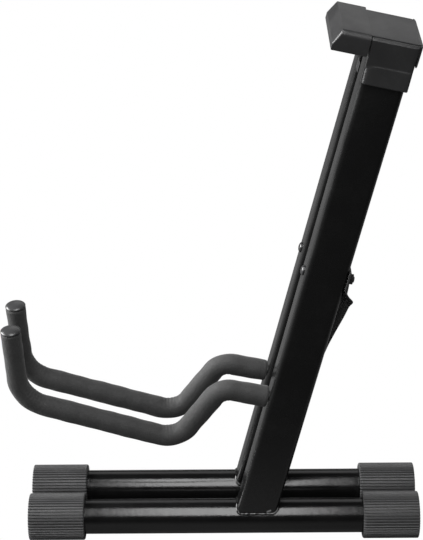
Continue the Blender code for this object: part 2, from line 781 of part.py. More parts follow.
def make_strap_bolt(name, leg):
    """The dome-headed bolt through the upright and the strap's end, with washer and nut behind."""
    washer_depth = HALF_DEPTH + 2 * GAP + STRAP_THICKNESS
    nut_depth = washer_depth + WASHER_THICKNESS + GAP
    shank = nut_depth + NUT_THICKNESS + BOLT_END + HALF_DEPTH + GAP
    steps = 4
    outline = [(0, BOLT_HEAD_HEIGHT)]
    for step in range(1, steps + 1):
        angle = math.pi / 2 * step / steps
        outline.append((BOLT_HEAD_RADIUS * math.sin(angle), BOLT_HEAD_HEIGHT * math.cos(angle)))
    outline += [(BOLT_RADIUS, 0), (BOLT_RADIUS, -shank), (0, -shank)]
    bolt = turned(f"strap_bolt_{name}", outline, black_steel(), 24)
    place(bolt, leg, (0, -HALF_DEPTH - GAP, BOLT_RISE), (math.pi / 2, 0, 0))
    washer = ring_piece(
        f"strap_washer_{name}", WASHER_RADIUS, BOLT_RADIUS + GAP, WASHER_THICKNESS, black_steel()
    )
    place(washer, leg, (0, washer_depth, BOLT_RISE), (-math.pi / 2, 0, 0))
    hexagon = [
        (NUT_RADIUS * math.cos(math.pi / 3 * k), NUT_RADIUS * math.sin(math.pi / 3 * k)) for k in range(6)
    ]
    nut = prism(f"strap_nut_{name}", hexagon, 0, NUT_THICKNESS, black_steel())
    thread = rod_mesh("thread", (0, 0, -NUT_THICKNESS), (0, 0, 1), 3 * NUT_THICKNESS, BOLT_RADIUS + GAP)
    cut_with(nut, f"nut_thread_{name}", thread)
    place(nut, leg, (0, nut_depth, BOLT_RISE), (-math.pi / 2, 0, 0))


# ---------------------------------------------------------------- strap


def leg_out(rise):
    """Distance of an upright's axis from the middle."""
    return FOOT_OUT + (PIN_OUT - FOOT_OUT) * rise / PIN_RISE


def strap_route():
    """Half of the strap's middle line, from the loop's lowest point to the tail above the bolt.

    Each entry is (out, depth, rise, turn): at turn 0 the webbing's width runs across the stand, at
    turn 1 from front to back. Between the uprights the strap hangs close to their inner faces.
    """
    flat = HALF_DEPTH + GAP + STRAP_THICKNESS / 2
    lowest = BOLT_RISE - STRAP_DROP
    beside = leg_out(BOLT_RISE) - UPRIGHT_WIDTH / 2 - STRAP_THICKNESS / 2 - 2 * GAP
    at_bolt = leg_out(BOLT_RISE)
    rear = flat - STRAP_WIDTH / 2
    sag = STRAP_WIDTH / 15
    return [
        (0, rear + sag, lowest, 1.0),
        (0.50 * beside, rear + sag, lowest + 0.018 * STRAP_DROP, 1.0),
        (0.85 * beside, rear + 2 * sag, lowest + 0.065 * STRAP_DROP, 1.0),
        (0.95 * beside, rear + 3 * sag, lowest + 0.18 * STRAP_DROP, 1.0),
        (0.95 * beside, rear + 5 * sag, lowest + 0.36 * STRAP_DROP, 1.0),
        (beside, rear + 7 * sag, lowest + 0.53 * STRAP_DROP, 1.0),
        (beside + 0.13 * (at_bolt - beside), flat + sag / 4, lowest + 0.67 * STRAP_DROP, 0.80),
        (beside + 0.48 * (at_bolt - beside), flat + 2 * sag, lowest + 0.78 * STRAP_DROP, 0.45),
        (beside + 0.83 * (at_bolt - beside), flat + sag, lowest + 0.86 * STRAP_DROP, 0.15),
        (at_bolt, flat, lowest + 0.93 * STRAP_DROP, 0.0),
        (at_bolt, flat, BOLT_RISE, 0.0),
        (at_bolt, flat, BOLT_RISE + STRAP_TAIL, 0.0),
    ]


def strap_rows():
    """The whole strap as (centre, half width) pairs, with even steps between the route's points."""
    half = strap_route()
    route = [(-out, depth, rise, 2 - turn) for out, depth, rise, turn in reversed(half[1:])] + half
    steps = 4
    rows = []
    for first, second in zip(route, route[1:]):
        for step in range(steps):
            share = step / steps
            rows.append([a + (b - a) * share for a, b in zip(first, second)])
    rows.append(route[-1])
    pairs = []
    for out, depth, rise, turn in rows:
        angle = turn * math.pi / 2
        half_width = Vector((math.cos(angle), math.sin(angle), 0)) * STRAP_WIDTH / 2
        pairs.append((Vector((out, depth, rise)), half_width))
    return pairs


def make_strap(head, frames):
    """The webbing strap between the uprights: one ribbon in a loop, with a quarter turn each side."""
    columns = 4
    mesh = bpy.data.meshes.new("strap")
    bm = bmesh.new()
    rows = []
    for centre, half_width in strap_rows():
        rows.append([bm.verts.new(centre + half_width * (2 * k / columns - 1)) for k in range(columns + 1)])
    for a, b in zip(rows, rows[1:]):
        for k in range(columns):
            bm.faces.new((a[k], a[k + 1], b[k + 1], b[k]))
    bm.to_mesh(mesh)
    bm.free()
    strap = new_object("strap", mesh, black_webbing())
    place(strap, head)
    thick = strap.modifiers.new("thickness", "SOLIDIFY")
    thick.thickness = STRAP_THICKNESS
    thick.offset = 0
    for name, side in SIDES:
        start = (0, HALF_DEPTH - TUBE_WALL, BOLT_RISE)
        hole_mesh = rod_mesh("strap_hole", start, (0, 1, 0), 3 * TUBE_WALL, BOLT_RADIUS + GAP)
        hole = new_cutter(f"strap_hole_{name}", hole_mesh)
        place(hole, frames[name])
        boolean(strap, hole)


def main():
    start_scene()
    frames = make_frames()
    make_top_cover(frames["head"])
    make_strap(frames["head"], frames)
    for name, side in SIDES:
        leg = frames[name]
        foot = frames[name + "_foot"]
        make_foot_tube(name, foot)
        make_foot_caps(name, foot)
        make_upright(name, leg, foot)
        make_arm(name, leg)
        make_leg_cap(name, side, frames[name + "_cap"], leg)
        make_hinge_pin(name, side, frames["head"])
        make_cap_screw(name, leg)
        make_strap_bolt(name, leg)
    bpy.context.view_layer.update()


main()
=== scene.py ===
"""Folding A-frame guitar stand: the finished surfaces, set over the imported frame."""

import json
import math

import bmesh
import bpy
import numpy as np
from mathutils import Matrix, Vector


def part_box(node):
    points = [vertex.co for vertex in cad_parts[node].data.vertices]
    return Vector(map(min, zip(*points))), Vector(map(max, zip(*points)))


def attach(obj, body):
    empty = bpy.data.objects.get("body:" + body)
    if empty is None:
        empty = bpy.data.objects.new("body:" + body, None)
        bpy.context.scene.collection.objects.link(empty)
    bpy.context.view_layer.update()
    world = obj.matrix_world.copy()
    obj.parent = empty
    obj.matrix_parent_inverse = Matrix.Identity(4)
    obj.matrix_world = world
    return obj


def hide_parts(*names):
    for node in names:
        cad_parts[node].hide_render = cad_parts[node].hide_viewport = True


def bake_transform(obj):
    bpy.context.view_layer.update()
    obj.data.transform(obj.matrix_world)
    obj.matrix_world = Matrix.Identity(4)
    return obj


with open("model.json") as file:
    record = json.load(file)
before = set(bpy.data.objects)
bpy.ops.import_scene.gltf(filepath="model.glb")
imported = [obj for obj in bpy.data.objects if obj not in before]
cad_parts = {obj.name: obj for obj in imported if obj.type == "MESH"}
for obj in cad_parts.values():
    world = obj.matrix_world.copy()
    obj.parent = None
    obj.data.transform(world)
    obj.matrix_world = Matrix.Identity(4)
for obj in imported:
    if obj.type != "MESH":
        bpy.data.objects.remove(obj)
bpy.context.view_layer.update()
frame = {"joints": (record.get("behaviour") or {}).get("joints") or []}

SIDES = (("left", -1), ("right", 1))
GAP = 0.0003  # between pieces that touch

# ---------------------------------------------------------------- places taken from the frame

JOINTS = {joint["name"]: joint for joint in frame["joints"]}
DEPTH = np.array(JOINTS["left_leg_fold"]["axis"])  # front to back, square to the uprights
RISE = np.array([0.0, -DEPTH[2], DEPTH[1]])  # along the uprights
PIN = np.array(JOINTS["right_leg_fold"]["pos_m"])
TUBE_LOW, TUBE_HIGH = (np.array(corner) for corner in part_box("foot_tube_right"))
CAP_LOW, CAP_HIGH = (np.array(corner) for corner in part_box("foot_cap_rear_right"))
AXIS_HEIGHT = CAP_HIGH[2] / 2
TUBE_RADIUS = (TUBE_HIGH[2] - TUBE_LOW[2]) / 2
FOOT_OUT = (TUBE_LOW[0] + TUBE_HIGH[0]) / 2
FOOT_MIDDLE = (TUBE_LOW[1] + TUBE_HIGH[1]) / 2
CAP_LENGTH = CAP_HIGH[1] - CAP_LOW[1]
CAP_END = CAP_HIGH[1]
PIN_OUT = PIN[0]
PIN_RISE = (PIN[2] - AXIS_HEIGHT) / RISE[2]
BASE = np.array([0.0, PIN[1], PIN[2]]) - RISE * PIN_RISE
LEAN_IN = math.atan2(FOOT_OUT - PIN_OUT, PIN_RISE)
LEAN_BACK = math.asin(RISE[1])


def to_frame(point):
    """(out, depth, rise) in the head's directions of a point of the frame."""
    moved = np.array(point) - BASE
    return abs(moved[0]), float(moved @ DEPTH), float(moved @ RISE)


BOLT_RISE = to_frame(sum((np.array(c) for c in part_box("strap_nut_right")), np.zeros(3)) / 2)[2]
SCREW_RISE = to_frame(sum((np.array(c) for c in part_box("cap_screw_right")), np.zeros(3)) / 2)[2]

# ---------------------------------------------------------------- sizes

UPRIGHT_DEPTH = 0.0284
UPRIGHT_WIDTH = 0.0180
UPRIGHT_CORNER = 0.0038
UPRIGHT_TOP = 0.362
HALF_DEPTH = UPRIGHT_DEPTH / 2

ARM_RISE = 0.1034
NECK_LENGTH = 0.0472
DROP_ANGLE = math.radians(54.4)
DROP_LENGTH = 0.0527
CRADLE_ANGLE = math.radians(18.0)
CRADLE_LENGTH = 0.1137
POST_LEAN = math.radians(2.6)
POST_LENGTH = 0.0548
BEND_RADII = (0.0142, 0.0195, 0.0264)
FOAM_RADIUS = 0.0074
TIP_RADIUS = 0.0068
END_CAP_RADIUS = 0.0070

HEAD_TOP = 0.3777
PANEL_OUT = 0.0210
PANEL_THICKNESS = 0.0025
NOSE_TOP = 0.3787
NOSE_OUT = 0.0260
NOSE_FOOT = 0.3653
NOSE_REAR = -0.0152
NOSE_FRONT = -0.0376
COVER_REAR = 0.0176
SLEEVE_REAR = 0.0155
SLEEVE_FOOT = 0.3475
RECESS_FOOT = 0.3523
RECESS_DEPTH = 0.0080
LEG_CAP_OUT = 0.0243
HEAD_CORNER = 0.0042  # rounding of the head's rear corners, seen from above

STRAP_WIDTH = 0.018
STRAP_THICKNESS = 0.0012
STRAP_DROP = 0.0735  # of the loop's lowest point below the bolts
STRAP_TAIL = 0.0085  # above the bolt

COVER_WALL = 0.0022
CHAMFER_REAR = -0.0334  # where the nose's chamfer starts
REAR_WALL_HEIGHT = 0.0142
LEG_SWING = math.radians(20)
FLARE = 0.0015
FLARE_HEIGHT = 0.0125

CLIP_THICKNESS = 0.0010
WASHER_THICKNESS = 0.0008
NUT_THICKNESS = 0.0022
BOLT_PLAY = 0.00085  # of the strap and washer along the bolt
BOLT_STICK_OUT = 0.0008


# ---------------------------------------------------------------- spaces


def side_name(side):
    return "right" if side > 0 else "left"


def leg_body(side):
    return f"{side_name(side)}_leg"


def head_space(x, depth, rise):
    """World points of (x, depth, rise) in the head's directions."""
    x, depth, rise = np.broadcast_arrays(*(np.asarray(v, float) for v in (x, depth, rise)))
    return BASE + x[..., None] * np.array([1.0, 0, 0]) + depth[..., None] * DEPTH + rise[..., None] * RISE


def head_points(points, side=1):
    """World points of an array of (x, depth, rise)."""
    return head_space(side * points[..., 0], points[..., 1], points[..., 2])


def leg_space(side, out, depth, rise):
    """World points of a leg: out from its own upright's axis, which turns in by LEAN_IN going up."""
    out, depth, rise = (np.asarray(v, float) for v in (out, depth, rise))
    x = side * (FOOT_OUT + out * math.cos(LEAN_IN) - rise * math.sin(LEAN_IN))
    return head_space(x, depth, out * math.sin(LEAN_IN) + rise * math.cos(LEAN_IN))


def foot_space(side, out, along, up):
    """World points round a foot tube's axis: out across, along it, and up."""
    out, along, up = np.broadcast_arrays(*(np.asarray(v, float) for v in (out, along, up)))
    return np.stack([side * (FOOT_OUT + out), FOOT_MIDDLE + along, AXIS_HEIGHT + up], -1)


# ---------------------------------------------------------------- mesh helpers


def grid_faces(rows, cols, wrap_rows, wrap_cols, flip):
    """Quads between neighbouring points of a grid, as an array."""
    i = np.arange(rows if wrap_rows else rows - 1)
    j = np.arange(cols if wrap_cols else cols - 1)
    i, j = (a.ravel() for a in np.meshgrid(i, j, indexing="ij"))
    i2, j2 = (i + 1) % rows, (j + 1) % cols
    quads = np.stack([i * cols + j, i * cols + j2, i2 * cols + j2, i2 * cols + j], -1)
    return quads[:, ::-1] if flip else quads


def make_mesh(name, points, wrap_rows=False, wrap_cols=True, ends=(False, False), flip=False):
    """A mesh from a grid of points; an end row may be closed by one flat face. UVs count rows and columns."""
    rows, cols = points.shape[:2]
    quads = grid_faces(rows, cols, wrap_rows, wrap_cols, flip)
    faces = quads.tolist()
    first = np.arange(cols)
    last = (rows - 1) * cols + np.arange(cols)
    if ends[0]:
        faces.append((first if flip else first[::-1]).tolist())
    if ends[1]:
        faces.append((last[::-1] if flip else last).tolist())
    mesh = bpy.data.meshes.new(name)
    mesh.from_pydata(points.reshape(-1, 3).tolist(), [], faces)
    layer = mesh.uv_layers.new(name="UVMap")
    corner = np.zeros(len(mesh.loops), int)
    mesh.loops.foreach_get("vertex_index", corner)
    uv = np.stack([(corner % cols) / cols, (corner // cols) / max(rows - 1, 1)], -1)
    layer.data.foreach_set("uv", uv.astype(np.float32).ravel())
    mesh.validate()
    return mesh


def joined(name, meshes):
    """One mesh out of several."""
    points, faces, start = [], [], 0
    for mesh in meshes:
        co = np.zeros(len(mesh.vertices) * 3)
        mesh.vertices.foreach_get("co", co)
        points.append(co.reshape(-1, 3))
        faces += [[start + v for v in face.vertices] for face in mesh.polygons]
        start += len(mesh.vertices)
        bpy.data.meshes.remove(mesh)
    made = bpy.data.meshes.new(name)
    made.from_pydata(np.concatenate(points).tolist(), [], faces)
    made.uv_layers.new(name="UVMap")
    return made


def piece(name, mesh, body, finish, replaces=(), sharp=32):
    """Puts a mesh in the scene as a finished piece that rides on a body."""
    obj = bpy.data.objects.new(name, mesh)
    bpy.context.scene.collection.objects.link(obj)
    mesh.materials.append(finish)
    mesh.shade_smooth()
    mesh.set_sharp_from_angle(angle=math.radians(sharp))
    if body:
        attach(obj, body)
    if replaces:
        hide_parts(*replaces)
    return obj


def soften_edges(obj, width, segments=3):
    """A small rounding on every sharp edge."""
    bevel = obj.modifiers.new("edge", "BEVEL")
    bevel.width = width
    bevel.segments = segments
    bevel.limit_method = "ANGLE"
    bevel.angle_limit = math.radians(30)
    bevel.harden_normals = True


def apply_modifiers(obj):
    """Makes the modified shape the object's own mesh."""
    graph = bpy.context.evaluated_depsgraph_get()
    mesh = bpy.data.meshes.new_from_object(obj.evaluated_get(graph))
    obj.modifiers.clear()
    obj.data = mesh


def full_turn(count):
    """Even angles once round."""
    return np.linspace(0, 2 * math.pi, count, endpoint=False)


def quarter_turn(count):
    """Even angles from nothing to a right angle."""
    return np.linspace(0, math.pi / 2, count)


def turned_points(profile, sides=48):
    """A profile of (radius, height) points carried round the Z axis, in a grid of local points."""
    radius, height = np.array(profile, float).T
    angle = full_turn(sides)
    x = radius[:, None] * np.cos(angle)
    y = radius[:, None] * np.sin(angle)
    return np.stack([x, y, np.broadcast_to(height[:, None], x.shape)], -1)


def set_along_depth(points, where, facing, space):
    """Stands local points on a depth line: their Z runs to the rear (facing 1) or the front (facing -1)."""
    x, y, z = (points[..., k] for k in range(3))
    out, depth, rise = where
    return space(out + x, depth + facing * z, rise + y)


def in_leg(side):
    return lambda out, depth, rise: leg_space(side, out, depth, rise)


def in_head(side):
    return lambda out, depth, rise: head_space(side * np.asarray(out), depth, rise)


def ease(t):
    """Rises smoothly from 0 to 1 as t does."""
    t = np.clip(t, 0, 1)
    return t * t * (3 - 2 * t)


def rounded_loop(low, high, radii, steps=6):
    """A rectangle's outline with a rounding at each corner, counter-clockwise from its low corner."""
    (x0, y0), (x1, y1) = low, high
    centres = ((x0, y0, 1, 1, 180), (x1, y0, -1, 1, 270), (x1, y1, -1, -1, 0), (x0, y1, 1, -1, 90))
    loop = []
    for (x, y, sx, sy, first), r in zip(centres, radii):
        turn = np.radians(first + np.linspace(0, 90, steps + 1))
        loop.append(np.stack([x + sx * r + r * np.cos(turn), y + sy * r + r * np.sin(turn)], -1))
    return np.concatenate(loop)


def merged(mesh):
    """Joins the points of a mesh that fell together, and drops the faces that vanish with them."""
    work = bmesh.new()
    work.from_mesh(mesh)
    bmesh.ops.remove_doubles(work, verts=work.verts[:], dist=2e-6)
    bmesh.ops.dissolve_degenerate(work, edges=work.edges[:], dist=1e-7)
    work.to_mesh(mesh)
    work.free()
    return mesh


def outward(mesh):
    """Turns the faces of a closed mesh outward, by the sign of the volume that they hold."""
    mesh.calc_loop_triangles()
    co = np.zeros(len(mesh.vertices) * 3)
    mesh.vertices.foreach_get("co", co)
    tri = np.zeros(len(mesh.loop_triangles) * 3, int)
    mesh.loop_triangles.foreach_get("vertices", tri)
    a, b, c = (co.reshape(-1, 3)[tri.reshape(-1, 3)[:, k]] for k in range(3))
    if float(np.einsum("ij,ij->i", a, np.cross(b, c)).sum()) < 0:
        mesh.flip_normals()
    return mesh


# ---------------------------------------------------------------- finishes


class Nodes:
    """Short ways to add and join nodes in one tree."""

    def __init__(self, tree):
        self.tree = tree

    def add(self, kind, settings=(), **values):
        node = self.tree.nodes.new(kind)
        for name, value in dict(settings).items():
            setattr(node, name, value)
        for name, value in values.items():
            self.put(node, name.replace("_", " "), value)
        return node

    def put(self, node, name, value):
        socket = node.inputs[int(name[1:])] if name[:1] == "i" and name[1:].isdigit() else node.inputs[name]
        if isinstance(value, bpy.types.NodeSocket):
            self.tree.links.new(value, socket)
        else:
            socket.default_value = value

    def noise(self, where, scale, detail=4.0, roughness=0.55):
        node = self.add("ShaderNodeTexNoise", Vector=where, Scale=scale, Detail=detail, Roughness=roughness)
        return node.outputs["Fac"]

    def spread(self, value, low, high, to_low=0.0, to_high=1.0):
        node = self.add("ShaderNodeMapRange", {"clamp": True}, Value=value)
        for name, number in (("From Min", low), ("From Max", high), ("To Min", to_low), ("To Max", to_high)):
            node.inputs[name].default_value = number
        return node.outputs["Result"]

    def math(self, operation, a, b=None):
        node = self.add("ShaderNodeMath", {"operation": operation}, i0=a)
        if b is not None:
            self.put(node, "i1", b)
        return node.outputs[0]

    def mix(self, share, a, b):
        node = self.add("ShaderNodeMix", {"data_type": "RGBA"})
        self.put(node, "i0", share)
        self.put(node, "i6", a)
        self.put(node, "i7", b)
        return node.outputs[2]


def grey(level, tint=0.0):
    return (level, level, level * (1 + tint), 1.0)


def new_group(name, inputs, outputs):
    """An empty node group with float inputs at their usual values, and float outputs."""
    group = bpy.data.node_groups.new(name, "ShaderNodeTree")
    for label, kind, value in inputs:
        socket = group.interface.new_socket(name=label, in_out="INPUT", socket_type=kind)
        if value is not None:
            socket.default_value = value
    for label in outputs:
        group.interface.new_socket(name=label, in_out="OUTPUT", socket_type="NodeSocketFloat")
    n = Nodes(group)
    return group, n, n.add("NodeGroupInput").outputs, n.add("NodeGroupOutput")


FLOAT = "NodeSocketFloat"
VECTOR = "NodeSocketVector"


def grain_group():
    """Moulded or sprayed surface: broad waves under fine pits, as one height."""
    group, n, given, out = new_group(
        "surface grain",
        [("Where", VECTOR, None), ("Wave scale", FLOAT, 90), ("Pit scale", FLOAT, 2200), ("Pit share", FLOAT, 0.5)],
        ["Height"],
    )
    wave = n.noise(given["Where"], given["Wave scale"], 2)
    pits = n.noise(given["Where"], given["Pit scale"], 2)
    node = n.add("ShaderNodeMix", {"data_type": "FLOAT"})
    n.put(node, "i0", given["Pit share"])
    n.put(node, "i2", wave)
    n.put(node, "i3", pits)
    n.put(out, "Height", node.outputs[0])
    return group


def handling_group():
    """Smudges, dust and rubbed spots from use: soft patches broken by finer ones, and sparse specks."""
    group, n, given, out = new_group(
        "handling",
        [("Where", VECTOR, None), ("Patch scale", FLOAT, 30), ("Speck scale", FLOAT, 700)],
        ["Smudge", "Dust", "Speck"],
    )
    patch = n.noise(given["Where"], given["Patch scale"], 5, 0.6)
    n.put(out, "Smudge", n.spread(patch, 0.38, 0.68))
    fine = n.noise(given["Where"], n.math("MULTIPLY", given["Patch scale"], 9.0), 4, 0.65)
    dust = n.math("MULTIPLY", n.spread(patch, 0.42, 0.7), n.spread(fine, 0.42, 0.7))
    n.put(out, "Dust", dust)
    cells = n.add("ShaderNodeTexVoronoi", Vector=given["Where"], Scale=given["Speck scale"])
    near = n.spread(cells.outputs["Distance"], 0.08, 0.2, 1.0, 0.0)
    thin = n.spread(n.noise(given["Where"], 160.0, 2), 0.60, 0.66)
    n.put(out, "Speck", n.math("MULTIPLY", near, thin))
    return group


GRAIN = grain_group()
HANDLING = handling_group()


def new_finish(name):
    """A material with its shader, and where its pattern is read."""
    made = bpy.data.materials.new(name)
    made.use_nodes = True
    n = Nodes(made.node_tree)
    shader = made.node_tree.nodes["Principled BSDF"]
    where = n.add("ShaderNodeTexCoord").outputs["Object"]
    return made, n, shader, where


def use_group(n, group, **values):
    node = n.add("ShaderNodeGroup", {"node_tree": group})
    for name, value in values.items():
        n.put(node, name.replace("_", " "), value)
    return node.outputs


def bump(n, shader, height, strength, distance):
    node = n.add("ShaderNodeBump", Height=height, Strength=strength, Distance=distance)
    n.put(shader, "Normal", node.outputs["Normal"])


def worn_black(name, dark, dusty, rough, grain, dust_share=0.5, coat=0.0, specular=0.5, metallic=0.0):
    """A dark finish with dust and smudges; rough is (clean, smudged), grain (wave, pit, share, strength, depth)."""
    made, n, shader, where = new_finish(name)
    marks = use_group(n, HANDLING, Where=where, Patch_scale=38.0, Speck_scale=620.0)
    share = n.math("MULTIPLY", marks["Dust"], dust_share)
    colour = n.mix(share, grey(dark, 0.02), grey(dusty, 0.02))
    n.put(shader, "Base Color", n.mix(n.math("MULTIPLY", marks["Speck"], dust_share), colour, grey(dusty * 2.2)))
    n.put(shader, "Roughness", n.spread(marks["Smudge"], 0, 1, *rough))
    wave, pit, pit_share, strength, depth = grain
    height = use_group(n, GRAIN, Where=where, Wave_scale=wave, Pit_scale=pit, Pit_share=pit_share)["Height"]
    bump(n, shader, height, strength, depth)
    shader.inputs["Metallic"].default_value = metallic
    shader.inputs["Specular IOR Level"].default_value = specular
    shader.inputs["Coat Weight"].default_value = coat
    shader.inputs["Coat Roughness"].default_value = 0.12
    return made, n, shader, where


PAINT = worn_black("black paint", 0.0045, 0.012, (0.14, 0.24), (240.0, 1500.0, 0.35, 0.30, 0.0004), 0.35)[0]


def chipped_paint():
    """The black paint of an upright, with a chip to bare steel low at its rear and a few pinpricks."""
    made, n, shader, where = worn_black(
        "black paint chipped", 0.0045, 0.012, (0.22, 0.34), (240.0, 1500.0, 0.35, 0.30, 0.0004), 0.35
    )
    ragged = n.add("ShaderNodeVectorMath", {"operation": "ADD"}, i0=where)
    wobble = n.add("ShaderNodeTexNoise", Vector=where, Scale=900.0, Detail=3.0)
    small = n.add("ShaderNodeVectorMath", {"operation": "SCALE"}, i0=wobble.outputs["Color"])
    small.inputs["Scale"].default_value = 0.0016
    n.put(ragged, "i1", small.outputs[0])
    nearest = 1.0
    for back, rise in ((0.0072, 0.0121), (0.0063, 0.0129), (0.0054, 0.0137)):
        away = n.add("ShaderNodeVectorMath", {"operation": "DISTANCE"}, i0=ragged.outputs[0])
        away.inputs[1].default_value = tuple(leg_space(1, 0.0090, HALF_DEPTH - back, rise) + 0.0008)
        nearest = n.math("MINIMUM", away.outputs["Value"], nearest)
    bare = n.spread(nearest, 0.0006, 0.0008, 1.0, 0.0)
    before = shader.inputs["Base Color"].links[0].from_socket
    n.put(shader, "Base Color", n.mix(bare, before, grey(0.55)))
    n.put(shader, "Metallic", bare)
    return made


CHIPPED_PAINT = chipped_paint()
RUBBER = worn_black("black rubber", 0.050, 0.085, (0.40, 0.55), (300.0, 2600.0, 0.7, 0.35, 0.0003), 0.5)[0]
PLASTIC = worn_black("charcoal plastic", 0.024, 0.040, (0.30, 0.42), (420.0, 2800.0, 0.75, 0.28, 0.00025), 0.45)[0]
END_PLASTIC = worn_black("gloss end plastic", 0.035, 0.06, (0.22, 0.32), (260.0, 2400.0, 0.5, 0.15, 0.0002), 0.35)[0]
BLACK_STEEL = worn_black("black oxide steel", 0.022, 0.06, (0.22, 0.36), (500.0, 2200.0, 0.5, 0.2, 0.0002), 0.4)[0]


def foam_finish():
    """Closed-cell foam: packed cells with pale rims, on soft hollows, dusty where it is handled."""
    made, n, shader, where = new_finish("black foam")
    cells = n.add("ShaderNodeTexVoronoi", Vector=where, Scale=1500.0)
    soft = n.noise(where, 420.0, 4, 0.6)
    broad = n.noise(where, 60.0, 3)
    marks = use_group(n, HANDLING, Where=where, Patch_scale=55.0, Speck_scale=800.0)
    colour = n.mix(n.spread(cells.outputs["Distance"], 0.1, 0.65), grey(0.016), grey(0.034))
    colour = n.mix(n.math("MULTIPLY", n.spread(broad, 0.35, 0.7), 0.35), colour, grey(0.036))
    n.put(shader, "Base Color", n.mix(n.math("MULTIPLY", marks["Dust"], 0.22), colour, grey(0.06)))
    n.put(shader, "Roughness", n.spread(soft, 0.3, 0.7, 0.62, 0.80))
    shader.inputs["Specular IOR Level"].default_value = 0.45
    shader.inputs["Sheen Weight"].default_value = 0.12
    shader.inputs["Sheen Roughness"].default_value = 0.5
    height = n.math("ADD", n.math("MULTIPLY", cells.outputs["Distance"], 0.6), soft)
    bump(n, shader, height, 0.5, 0.0006)
    return made


def zinc_finish():
    """Zinc plate: bright, with a fine drawn grain and dull blotches."""
    made, n, shader, where = new_finish("zinc plate")
    blotch = n.noise(where, 350.0, 4)
    fine = n.noise(where, 3000.0, 3)
    n.put(shader, "Base Color", n.mix(n.spread(blotch, 0.35, 0.65), grey(0.42), grey(0.66)))
    n.put(shader, "Roughness", n.spread(blotch, 0.3, 0.7, 0.24, 0.42))
    shader.inputs["Metallic"].default_value = 1.0
    bump(n, shader, fine, 0.2, 0.0001)
    return made


def webbing_finish():
    """Woven webbing: a herringbone of ribs across the width, and fuzz on the threads."""
    made, n, shader, where = new_finish("black webbing")
    flat = n.add("ShaderNodeUVMap", {"uv_map": "UVMap"}).outputs["UV"]
    part = n.add("ShaderNodeSeparateXYZ", Vector=flat)
    across, along = part.outputs["X"], part.outputs["Y"]
    lane = n.math("PINGPONG", n.math("MULTIPLY", across, 6.0), 1.0)
    slant = n.math("ADD", n.math("MULTIPLY", along, 22.0), n.math("MULTIPLY", lane, 1.3))
    rib = n.math("PINGPONG", slant, 0.5)
    thread = n.math("PINGPONG", n.math("MULTIPLY", across, 26.0), 0.5)
    weave = n.math("ADD", n.math("MULTIPLY", rib, 1.4), n.math("MULTIPLY", thread, 0.6))
    fuzz = n.noise(where, 2600.0, 4, 0.7)
    shade = n.math("MULTIPLY", n.spread(weave, 0.1, 0.9), n.spread(fuzz, 0.3, 0.7, 0.7, 1.0))
    n.put(shader, "Base Color", n.mix(shade, grey(0.006), grey(0.030)))
    n.put(shader, "Roughness", n.spread(fuzz, 0.3, 0.7, 0.62, 0.85))
    shader.inputs["Sheen Weight"].default_value = 0.2
    shader.inputs["Sheen Roughness"].default_value = 0.45
    bump(n, shader, n.math("ADD", weave, n.math("MULTIPLY", fuzz, 0.3)), 0.8, 0.0003)
    return made


FOAM = foam_finish()
ZINC = zinc_finish()
WEBBING = webbing_finish()


# ---------------------------------------------------------------- feet


def foot_tube(name, side):
    """A straight round tube: one circle carried from end to end, its ends turned in by a small radius."""
    half = (TUBE_HIGH[1] - TUBE_LOW[1]) / 2
    turn = quarter_turn(5)
    edge = 0.0008
    along = np.concatenate([-half + edge - edge * np.cos(turn), half - edge + edge * np.cos(turn[::-1])])
    radius = TUBE_RADIUS - edge + edge * np.concatenate([np.sin(turn), np.sin(turn[::-1])])
    angle = full_turn(128)
    points = foot_space(
        side, radius[:, None] * np.cos(angle), along[:, None], radius[:, None] * np.sin(angle)
    )
    mesh = outward(make_mesh(name, points, ends=(True, True)))
    piece(name, mesh, leg_body(side), PAINT, [name])


def foot_cap(name, side, facing):
    """A ribbed cap: the radius dips between ribs, by a rounded wave of the angle, and falls away at both ends.

    A rib stands under the tube's lowest line, so the cap rests on a flat rib top.
    """
    ribs, per_rib = 48, 8
    radius, depth, edge = CAP_HIGH[2] / 2, 0.00085, 0.0007
    angle = full_turn(ribs * per_rib) - math.pi / 2
    wave = 0.5 - 0.5 * np.cos((angle + math.pi / 2) * ribs)
    groove = ease((wave - 0.22) / 0.56)
    turn = quarter_turn(8)
    inner = TUBE_RADIUS + 0.0001
    mouth = np.linspace(0, 1, 4)
    start = [(inner + (radius - 0.0016 - inner) * t, 0.0) for t in mouth]
    start += [(radius - 0.0012 + 0.0012 * math.sin(t), 0.0012 - 0.0012 * math.cos(t)) for t in turn]
    end = [(radius - edge + edge * math.cos(t), CAP_LENGTH - edge + edge * math.sin(t)) for t in turn]
    face = [((radius - edge) * t, CAP_LENGTH) for t in np.linspace(0.94, 0.03, 12)]
    outline = np.array(start + end + face)
    away, along = outline[:, 0], outline[:, 1]
    fade = ease((away - inner) / (radius - inner - 0.0004))
    sunk = 0.0005 * (1 - ease((away / (radius - edge) - 0.70) / 0.22)) * (along > CAP_LENGTH - 1e-6)
    radial = away[:, None] - depth * groove * fade[:, None]
    reach = CAP_END - FOOT_MIDDLE - CAP_LENGTH
    points = foot_space(
        side, radial * np.cos(angle), facing * (reach + along - sunk)[:, None], radial * np.sin(angle)
    )
    mesh = outward(make_mesh(name, points, ends=(True, True)))
    piece(name, mesh, leg_body(side), RUBBER, [name], sharp=50)


# ---------------------------------------------------------------- uprights


def upright_loop(steps):
    """The upright's outline across, as (out, depth)."""
    half = UPRIGHT_WIDTH / 2
    return rounded_loop((-half, -HALF_DEPTH), (half, HALF_DEPTH), [UPRIGHT_CORNER] * 4, steps)


